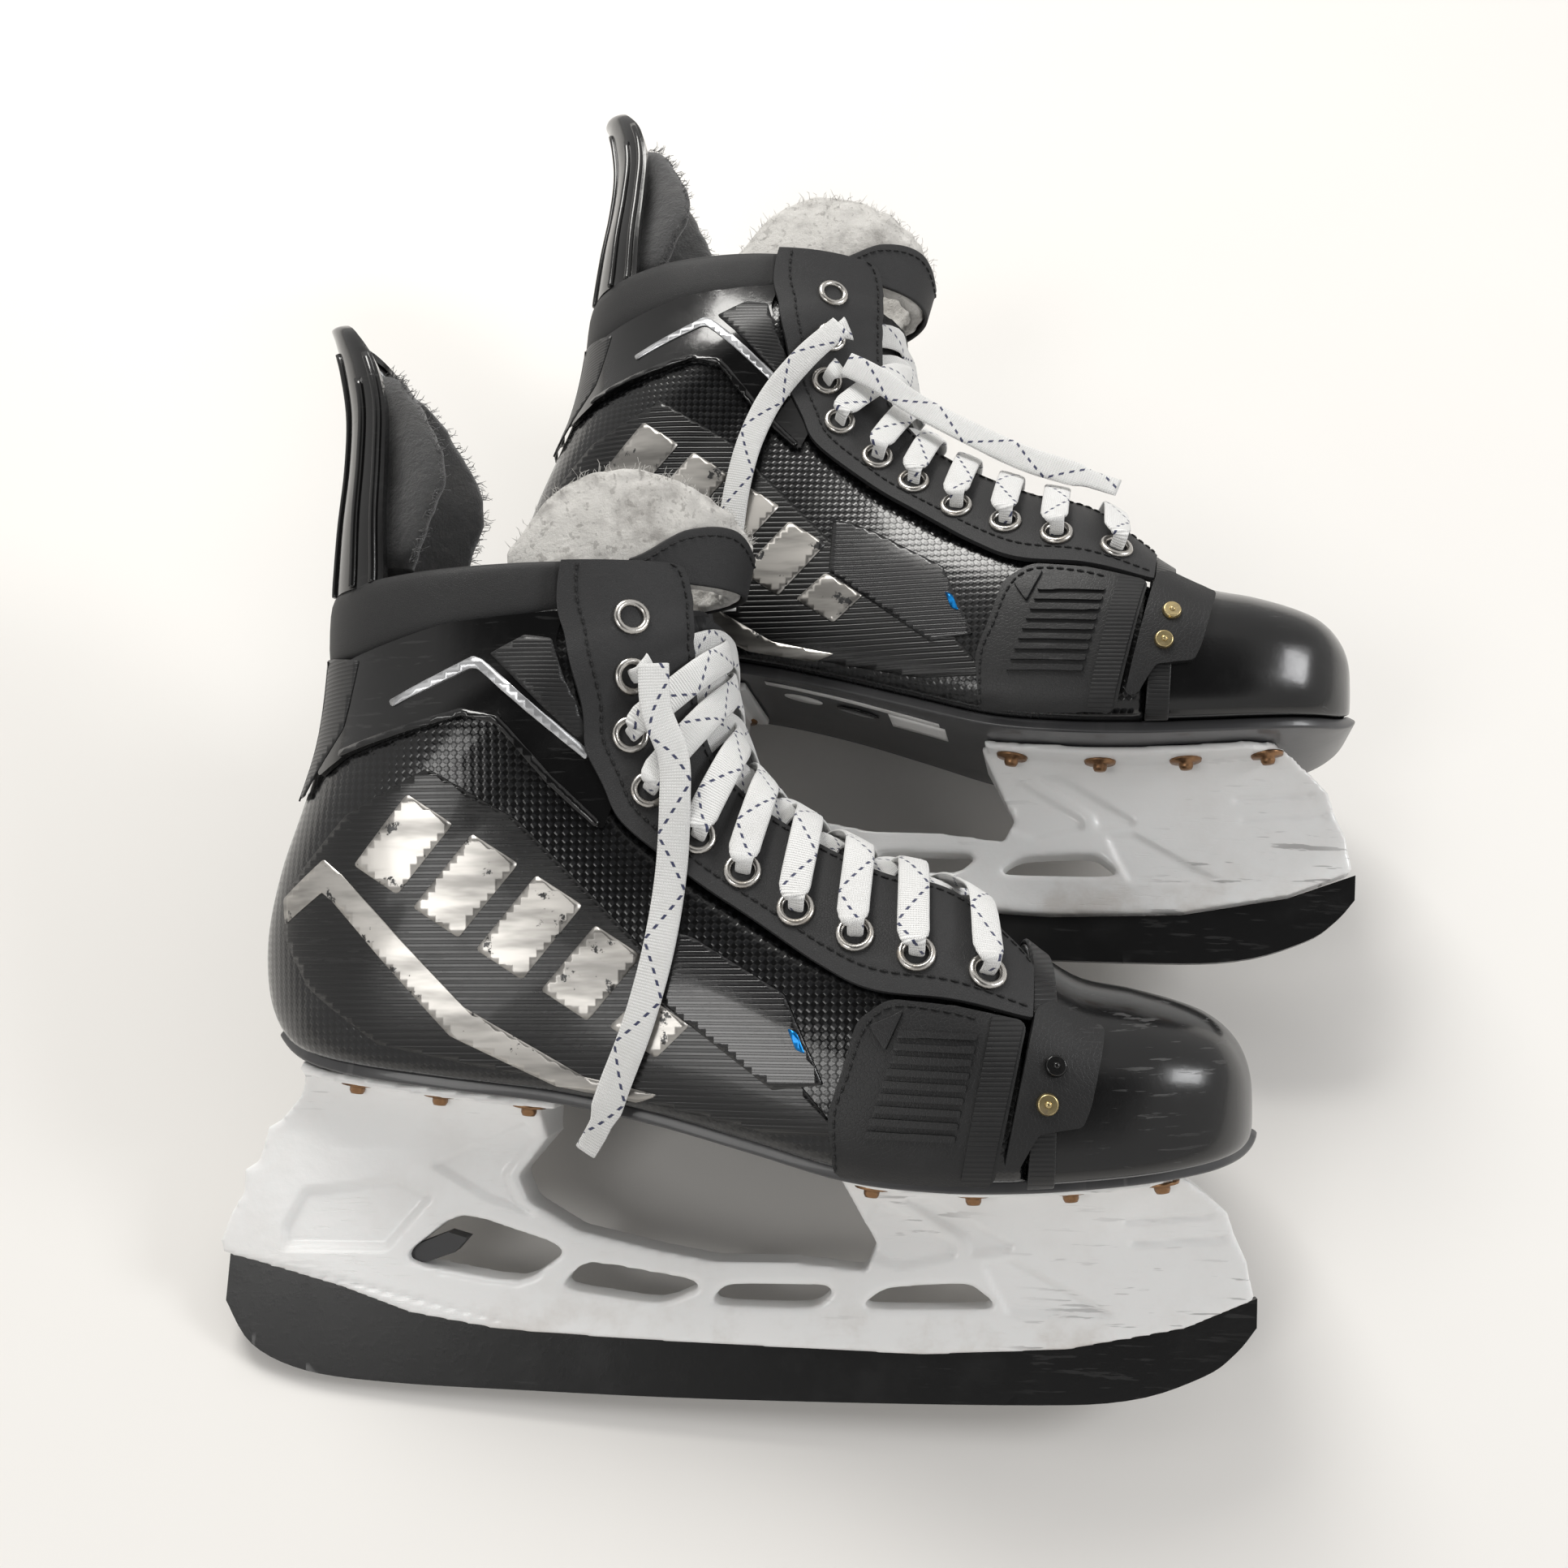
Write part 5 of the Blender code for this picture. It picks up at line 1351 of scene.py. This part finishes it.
def tongue_felt():
    """A closed pad: out over the front, round the top edge and back down inside."""

    def place(s, t):
        angle = -97 + 194 * s
        top = smooth_top(TONGUE_TOP, angle)
        turn = 2 * pi * t
        tall = bulge(cos(turn), 0.45)
        deep = bulge(sin(turn), 0.6)
        foot = TONGUE_FOOT - 1
        height = (top + foot) / 2 + (top - foot) / 2 * tall
        point = leg_point(radians(angle), height, -0.0026 + 0.0028 * deep)
        lump = noise.noise(point * 240) * 0.0011 + noise.noise(point * 700) * 0.0006
        return point + Vector((cos(radians(angle)), sin(radians(angle)), 0.3)) * lump

    return closed(rolled(110, 44, place))


def smooth_top(table, angle):
    """The table's height at an angle, eased between its rows."""
    rows = sorted(table)
    for index, (low, high) in enumerate(zip(rows, rows[1:])):
        if angle <= high[0]:
            return smooth([(row[1],) for row in rows], index + (angle - low[0]) / (high[0] - low[0]))[0]
    return rows[-1][1]


place_pair(
    "tongue_felt", tongue_felt(), FELT, "tongue_felt", body="tongue", nodes=("tongue_upper",), levels=1, soft=0.9
)


def tongue_cover():
    def place(s, t):
        angle = -62 + 124 * s
        top = smooth_top(COVER_TOP, angle)
        return leg_point(radians(angle), TONGUE_FOOT - 1 + (top - TONGUE_FOOT + 1) * t, 0.0019)

    return open_panel(60, 12, place, lambda point: Vector((TONGUE_AXIS * MM, 0, point.z)))


place_pair(
    "tongue_cover", tongue_cover(), LEATHER, "matt_leather", body="tongue", nodes=("tongue_cover",), wall=0.0015,
    bevel=0.0005,
)
cover_line = [
    leg_point(radians(angle), smooth_top(COVER_TOP, angle) - 2.6, 0.0021) for angle in spaced(-58, 58, 80)
]
cover_thread = bmesh.new()
thread_run(cover_line, cover_thread)
place_pair("tongue_stitches", cover_thread, THREAD, "matt_leather", body="tongue")


# %% [markdown]
# Felt and brushed linings shed fibres along their edges. A few hundred bent threads of three sides
# each are enough to break the hard outline, and they stay light.

# %% Felt hairs
def hairs(roots, into, length):
    """Thin bent threads that stand out from a felt edge."""
    for root, out in roots:
        wander = noise.random_unit_vector()
        lean = (out + wander * 0.8).normalized()
        tip = root + lean * length * (0.4 + 0.6 * noise.random())
        middle = (root + tip) / 2 + noise.random_unit_vector() * length * 0.22
        for start, end, thick in ((root - out * 0.0004, middle, 0.00014), (middle, tip, 0.0001)):
            turn = stood(end - start)
            bmesh.ops.create_cone(
                into, cap_ends=True, segments=3, radius1=thick, radius2=thick * 0.6, depth=(end - start).length * 1.06,
                matrix=Matrix.Translation((start + end) / 2) @ turn,
            )


noise.seed_set(11)
felt_hairs = bmesh.new()
roots = []
for i in range(420):
    angle = radians(-96 + 192 * i / 419)
    top = smooth_top(TONGUE_TOP, -96 + 192 * i / 419)
    height = top - 0.4 - 5.0 * noise.random() ** 2
    out = Vector((cos(angle) * 0.5, sin(angle) * 0.5, 0.8)).normalized()
    roots.append((leg_point(angle, height, -0.0010 - 0.0022 * noise.random()), out))
hairs(roots, felt_hairs, 0.0042)
place_pair("tongue_hairs", felt_hairs, FELT, "tongue_felt", body="tongue")


# %% [markdown]
# The tendon guard is a thin stiff shell that is bent round the back of the leg, with ribs along its
# edges and a brushed pad inside.

# %% Tendon guard and its pad
TENDON = [
    (224, -125, 22, 31.5), (229, -125, 22, 31), (245, -124, 20, 30), (262, -122.5, 18, 28), (278, -122.5, 17, 26),
    (292, -125, 15, 22.5), (302, -128, 11, 17), (307, -130, 8, 11.5), (309, -131, 4, 5.5),
]
TENDON_PAD = [
    (231, -121.5, 24, 23), (236, -121.5, 26, 25), (245, -120.5, 28, 25), (258, -118.5, 30, 24), (270, -118, 26, 22),
    (284, -117.5, 17, 18), (291, -119, 12, 12), (293, -120, 7, 8),
]


def bow_point(table, place, angle, inset):
    height, back, wrap, half = smooth(table, place)
    depth = max(wrap * MM - inset, 0.001)
    width = max(half * MM - inset, 0.001)
    return Vector((back * MM + inset + depth * (1 - cos(angle)), width * sin(angle), height * MM))


def guard_shell():
    def place(s, t):
        place_up = s * (len(TENDON) - 1)
        return bow_point(TENDON, place_up, -pi / 2 + pi * t, 0)

    return open_panel(60, 30, place, lambda point: Vector((point.x + 0.05, 0, point.z)))


place_pair(
    "tendon_guard", guard_shell(), GLOSS, "gloss_shell", body="tendon", nodes=("tendon_guard",), wall=0.0028,
    bevel=0.0008,
)
guard_ribs = bmesh.new()
for side in (-1, 1):
    for angle, low, high in ((82, 0.4, 5.2), (64, 0.2, 4.6), (30, 0.2, 5.6)):
        line = [bow_point(TENDON, place_up, side * radians(angle), -0.0002) for place_up in spaced(low, high, 30)]
        rows = [(point, Vector((1, 0, 0)) if angle > 60 else Vector((0, 1, 0)), 0.0022, 0.0020) for point in line]
        add_to(guard_ribs, ribbon(rows, 8))
place_pair("tendon_ribs", guard_ribs, GLOSS, "gloss_shell", body="tendon")


def tendon_pad():
    def place(s, t):
        turn = 2 * pi * t
        across = bulge(cos(turn), 0.5)
        deep = bulge(sin(turn), 0.7)
        angle = across * pi / 2 * 0.98
        point = bow_point(TENDON_PAD, s * (len(TENDON_PAD) - 1), angle, 0.0040 - 0.0040 * deep)
        return point + Vector((1, 0, 0.2)) * noise.noise(point * 260) * 0.0007

    return closed(rolled(60, 48, place))


place_pair(
    "tendon_pad", tendon_pad(), LINING, "black_lining", body="tendon", nodes=("tendon_pad",), levels=1, soft=0.9
)
pad_hairs = bmesh.new()
roots = []
for i in range(260):
    side = 1 if i % 2 else -1
    place_up = 0.3 + 6.4 * noise.random()
    root = bow_point(TENDON_PAD, place_up, side * pi / 2 * 0.97, 0.003 * noise.random())
    roots.append((root, Vector((0.9, side * 0.3, 0.3)).normalized()))
hairs(roots, pad_hairs, 0.0035)
place_pair("tendon_hairs", pad_hairs, LINING, "black_lining", body="tendon")
print("tongue and tendon guard made")

# %% [markdown]
# ## Blade holder and runner
# The holder is moulded nylon: a bridge with two towers that spread into flanges under the boot. Its
# side view is filled round its windows and pulled out to both sides. A voxel remesh then melts the
# plate and its flanges into one skin, and a few smoothing passes round every edge, as a mould does.
# The shallow panels between the struts are sunk into that skin afterwards.

# %% Holder outline and windows, in millimetres
HOLDER_FOOT = [
    (-155, 42), (-154, 38.7), (-138, 34.4), (-120, 29.6), (-100, 22.7), (-74, 18.4), (-41, 16.5),
    (-13, 15.4), (43, 13.6), (82, 15.6), (113.5, 21.9), (132, 29.7),
]
HOLDER_NOSE = [(130, 40), (127, 47), (125, 53), (120, 57.7)]
HOLDER_SADDLE = [
    (27, 50.5), (31, 43), (28, 36), (9.5, 38), (-13, 38), (-30, 41), (-52, 46),
    (-66, 54), (-69, 61), (-60, 72),
]
HOLDER_HEEL = [(-130, 84), (-137, 76.4), (-141, 74), (-144, 64.5), (-148, 62), (-148, 56), (-152, 50)]
WINDOWS = [
    [(-104, 37), (-86, 51), (-54, 41), (-68, 31)],
    [(-50, 38), (-15, 32), (-29, 26), (-58, 30)],
    [(-11, 32), (21, 32), (14, 25.5), (-16, 26)],
    [(25, 25.5), (33, 31.5), (56, 33), (62, 28.5), (63, 26)],
]
FRONT_FLANGE = [(4.35, 20), (5.0, 26), (6.5, 27), (8.5, 26), (9.1, 22)]
REAR_FLANGE = [(12.1, 20), (12.6, 24), (13.6, 24), (14.6, 21.5), (15.1, 16)]
HOLLOWS = [
    [(31.5, 56), (52.6, 44), (53.2, 39.8), (37.4, 36.5), (30, 38.5), (27, 50)],
    [(36, 56.5), (46, 56.5), (68.5, 44), (68, 41.4), (56.2, 40), (55, 44.5)],
    [(58.5, 38.7), (67.9, 40.3), (97, 24.5), (66, 24), (62, 31)],
    [(97, 51.5), (121, 53.5), (121, 51), (97, 49)],
    [(99, 45.5), (125, 47.5), (125, 45), (99, 43)],
    [(-136.5, 40), (-137, 46), (-130.7, 57), (-104, 60), (-93.2, 55), (-106.5, 40)],
    [(-95, 64), (-66, 77), (-63, 72), (-72, 61), (-69, 54), (-60, 48), (-78, 54)],
    [(-150, 38), (-149, 36.5), (-120, 30.5), (-74, 20.5), (-74, 22), (-120, 32.5)],
]
HOLLOW_DEPTH = 0.0013
HOLLOW_RIM = 1.6
FLANGE_DEPTH = 0.0039


def loop_of(points, steps=3):
    """A closed outline with its corners eased, as (x, z)."""
    count = len(points)
    found = []
    for i in range(count):
        before, here, after = points[i - 1], points[i], points[(i + 1) % count]
        for k in range(steps):
            t = k / (steps - 1)
            a = [here[j] + (before[j] - here[j]) * 0.22 for j in (0, 1)]
            b = [here[j] + (after[j] - here[j]) * 0.22 for j in (0, 1)]
            found.append([a[j] * (1 - t) ** 2 + 2 * here[j] * t * (1 - t) + b[j] * t * t for j in (0, 1)])
    return found


def side_plate(outline, half, holes=()):
    """A plate across Y from a side view. half gives half its thickness at (x, z)."""
    bm = bmesh.new()
    edges = []
    for loop in (outline, *holes):
        verts = [bm.verts.new((x * MM, 0, z * MM)) for x, z in loop]
        edges += [bm.edges.new((a, b)) for a, b in zip(verts, verts[1:] + verts[:1])]
    bmesh.ops.triangle_fill(bm, use_beauty=True, edges=edges)
    for axis, index, cell in (((1, 0, 0), 0, 0.004), ((0, 0, 1), 2, 0.004)):
        low = min(vert.co[index] for vert in bm.verts)
        high = max(vert.co[index] for vert in bm.verts)
        for step in range(1, int((high - low) / cell) + 1):
            cut = Vector(axis) * (low + cell * step)
            bmesh.ops.bisect_plane(bm, geom=bm.verts[:] + bm.edges[:] + bm.faces[:], plane_co=cut, plane_no=axis)
    lower = bm.verts[:]
    raised = bmesh.ops.extrude_face_region(bm, geom=bm.faces[:])["geom"]
    upper = [vert for vert in raised if isinstance(vert, bmesh.types.BMVert)]
    for vert in lower:
        vert.co.y = -half(vert.co.x, vert.co.z)
    for vert in upper:
        vert.co.y = half(vert.co.x, vert.co.z)
    bmesh.ops.recalc_face_normals(bm, faces=bm.faces)
    return bm


def sole_line(stations, depth):
    return [(point.x / MM, point.z / MM) for point in (sole_point(u, 0, depth) for u in stations)]


def tower_half(x, z):
    """Half the holder's thickness: slim at the runner, wider upwards, and flared under the flanges."""
    half = 0.0048 + (z - 0.015) * 0.060
    sole = straight([(-0.13, 0.088), (-0.06, 0.078), (0.0, 0.066), (0.03, 0.060), (0.12, 0.060)], x)
    flare = max(0.0, 1 - (sole - z) / 0.016)
    return half + 0.0060 * flare * flare


def hollow(x, z):
    """How far the moulded panels sink at (x, z): full depth inside, none outside, eased at the rim."""
    here = Vector((x, z)) / MM
    sink = 0.0
    for outline in HOLLOWS:
        lows = [min(corner[k] for corner in outline) for k in (0, 1)]
        highs = [max(corner[k] for corner in outline) for k in (0, 1)]
        if not all(lows[k] < here[k] < highs[k] for k in (0, 1)):
            continue
        inside, nearest = False, 1e3
        for (ax, az), (bx, bz) in zip(outline, outline[1:] + outline[:1]):
            a, b = Vector((ax, az)), Vector((bx, bz))
            t = min(max((here - a).dot(b - a) / (b - a).length_squared, 0), 1)
            nearest = min(nearest, (here - a - (b - a) * t).length)
            if (az > here[1]) != (bz > here[1]) and here[0] < (bx - ax) * (here[1] - az) / (bz - az) + ax:
                inside = not inside
        if inside:
            share = min(nearest / HOLLOW_RIM, 1)
            sink = max(sink, share * share * (3 - 2 * share))
    return HOLLOW_DEPTH * sink


def flange(widths, start_depth, wall):
    low_u, high_u = widths[0][0], widths[-1][0]

    def place(s, t):
        u = low_u + (high_u - low_u) * s
        half = straight(widths, u) * MM
        return sole_point(u, -half + 2 * half * t, start_depth)

    bm = rolled(24, 14, place, join=False)
    down = rolled(24, 14, lambda s, t: place(s, t) + (sole_point(low_u, 0, wall) - sole_point(low_u, 0, 0)), join=False)
    add_to(bm, down)
    bmesh.ops.bridge_loops(bm, edges=[edge for edge in bm.edges if edge.is_boundary])
    bmesh.ops.recalc_face_normals(bm, faces=bm.faces)
    return bm


def moulded(parts, voxel, passes, shift=None):
    """Several closed forms melted into one skin with rounded edges."""
    whole = bmesh.new()
    for bm in parts:
        add_to(whole, bm)
    mesh = bpy.data.meshes.new("blank")
    whole.to_mesh(mesh)
    whole.free()
    blank = bpy.data.objects.new("blank", mesh)
    bpy.context.collection.objects.link(blank)
    remesh = blank.modifiers.new("melt", "REMESH")
    remesh.mode = "VOXEL"
    remesh.voxel_size = voxel
    settle = blank.modifiers.new("settle", "SMOOTH")
    settle.factor = 0.5
    settle.iterations = passes
    bpy.context.view_layer.update()
    seen = blank.evaluated_get(bpy.context.evaluated_depsgraph_get())
    result = bmesh.new()
    result.from_mesh(seen.to_mesh())
    seen.to_mesh_clear()
    bpy.data.objects.remove(blank, do_unlink=True)
    bpy.data.meshes.remove(mesh)
    if shift:
        for vert in result.verts:
            vert.co = shift(vert.co.copy())
    return result


def holder():
    front_top = sole_line([4.2, 5, 6, 7, 8, 9.15], FLANGE_DEPTH + 0.0010)
    rear_top = sole_line([12.3, 13, 14, 14.95], FLANGE_DEPTH + 0.0010)
    outline = HOLDER_FOOT + HOLDER_NOSE + front_top + HOLDER_SADDLE + rear_top + HOLDER_HEEL
    plate = side_plate(outline, tower_half, [loop_of(window) for window in WINDOWS])
    parts = [plate, flange(FRONT_FLANGE, FLANGE_DEPTH, 0.0026), flange(REAR_FLANGE, FLANGE_DEPTH, 0.0026)]

    def sink_panels(point):
        if abs(point.y) < 0.0035:
            return point
        return point - Vector((0, hollow(point.x, point.z) * (1 if point.y > 0 else -1), 0))

    return moulded(parts, 0.0010, 2, sink_panels)


holder_bm = holder()
print("holder has", len(holder_bm.faces), "faces")
place_pair("holder", holder_bm, WHITE, "white_plastic", nodes=("holder",))

# %% [markdown]
# The runner is a flat steel blade. Its side view is filled between its rockered edge and the holder's
# foot, then pulled out to both sides, and a fine bevel catches the light along its edge.

# %% Runner
RUNNER_EDGE = [
    (-155, 24.5), (-147, 12.5), (-131, 5.5), (-106, 2.7), (-68, 1.3), (-13, 0),
    (65, 0), (98, 1.8), (118.5, 8.5), (127.5, 15), (133, 21.6),
]


def runner():
    edge = [smooth(RUNNER_EDGE, i / 5) for i in range((len(RUNNER_EDGE) - 1) * 5 + 1)]
    top = [(x, z - 0.4) for x, z in HOLDER_FOOT[1:]]
    top[-1] = (133.4, top[-1][1])
    return side_plate(edge + top[::-1], lambda x, z: 0.0015)


place_pair("runner", runner(), BLADE, "black_steel", body="runner", nodes=("runner",), bevel=0.0003)

# %% [markdown]
# The rivets are domed heads with a washer and a short crimped tip that stands out below the flange.

# %% Rivets
FRONT_RIVETS = [(31, 17), (57, 18), (82, 18), (105.5, 17)]
REAR_RIVETS = [(-63, 16), (-88, 16), (-111.5, 15.5)]
RIVET_PROFILE = [(0.0, 0.0034), (0.0017, 0.0032), (0.0021, 0.0024), (0.0022, 0.0012), (0.0046, 0.0009), (0.0049, 0.0)]


def station_below(x):
    """The station whose lower point is at x."""
    low, high = 3.0, 16.0
    for _ in range(30):
        middle = (low + high) / 2
        if station(middle)[0].x > x * MM:
            low = middle
        else:
            high = middle
    return low


def rivet_head():
    bm = bmesh.new()
    verts = [bm.verts.new((radius, 0, height)) for radius, height in RIVET_PROFILE]
    edges = [bm.edges.new(pair) for pair in zip(verts, verts[1:])]
    bmesh.ops.spin(
        bm, geom=verts + edges, cent=(0, 0, 0), axis=(0, 0, 1), dvec=(0, 0, 0), angle=2 * pi, steps=18,
        use_merge=True, use_normal_flip=False, use_duplicate=False,
    )
    return closed(bm)


head_bm = rivet_head()
head_mesh = bpy.data.meshes.new("one_rivet")
head_bm.to_mesh(head_mesh)
head_bm.free()
rivets = bmesh.new()
for x, y in FRONT_RIVETS + REAR_RIVETS:
    for side in (-1, 1):
        u = station_below(x)
        foot = sole_point(u, side * y * MM, FLANGE_DEPTH + 0.0024)
        down = (sole_point(u, 0, 0.01) - sole_point(u, 0, 0)).normalized()
        before = len(rivets.verts)
        rivets.from_mesh(head_mesh)
        rivets.verts.ensure_lookup_table()
        bmesh.ops.transform(rivets, verts=rivets.verts[before:], matrix=Matrix.Translation(foot) @ stood(down))
bpy.data.meshes.remove(head_mesh)
place_pair("rivets", rivets, BRONZE, "rivet_bronze", nodes=("holder_rivets",))

# %% [markdown]
# The trigger, its pin and its spring sit inside the holder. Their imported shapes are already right, so
# they are left as they are and only get a finish.

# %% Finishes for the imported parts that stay
for hand in ("right", "left"):
    for node, material in (("trigger", CATCH), ("trigger_pin", STEEL), ("trigger_spring", STEEL)):
        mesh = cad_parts[f"{hand}_{node}"].data
        mesh.materials.clear()
        mesh.materials.append(material)
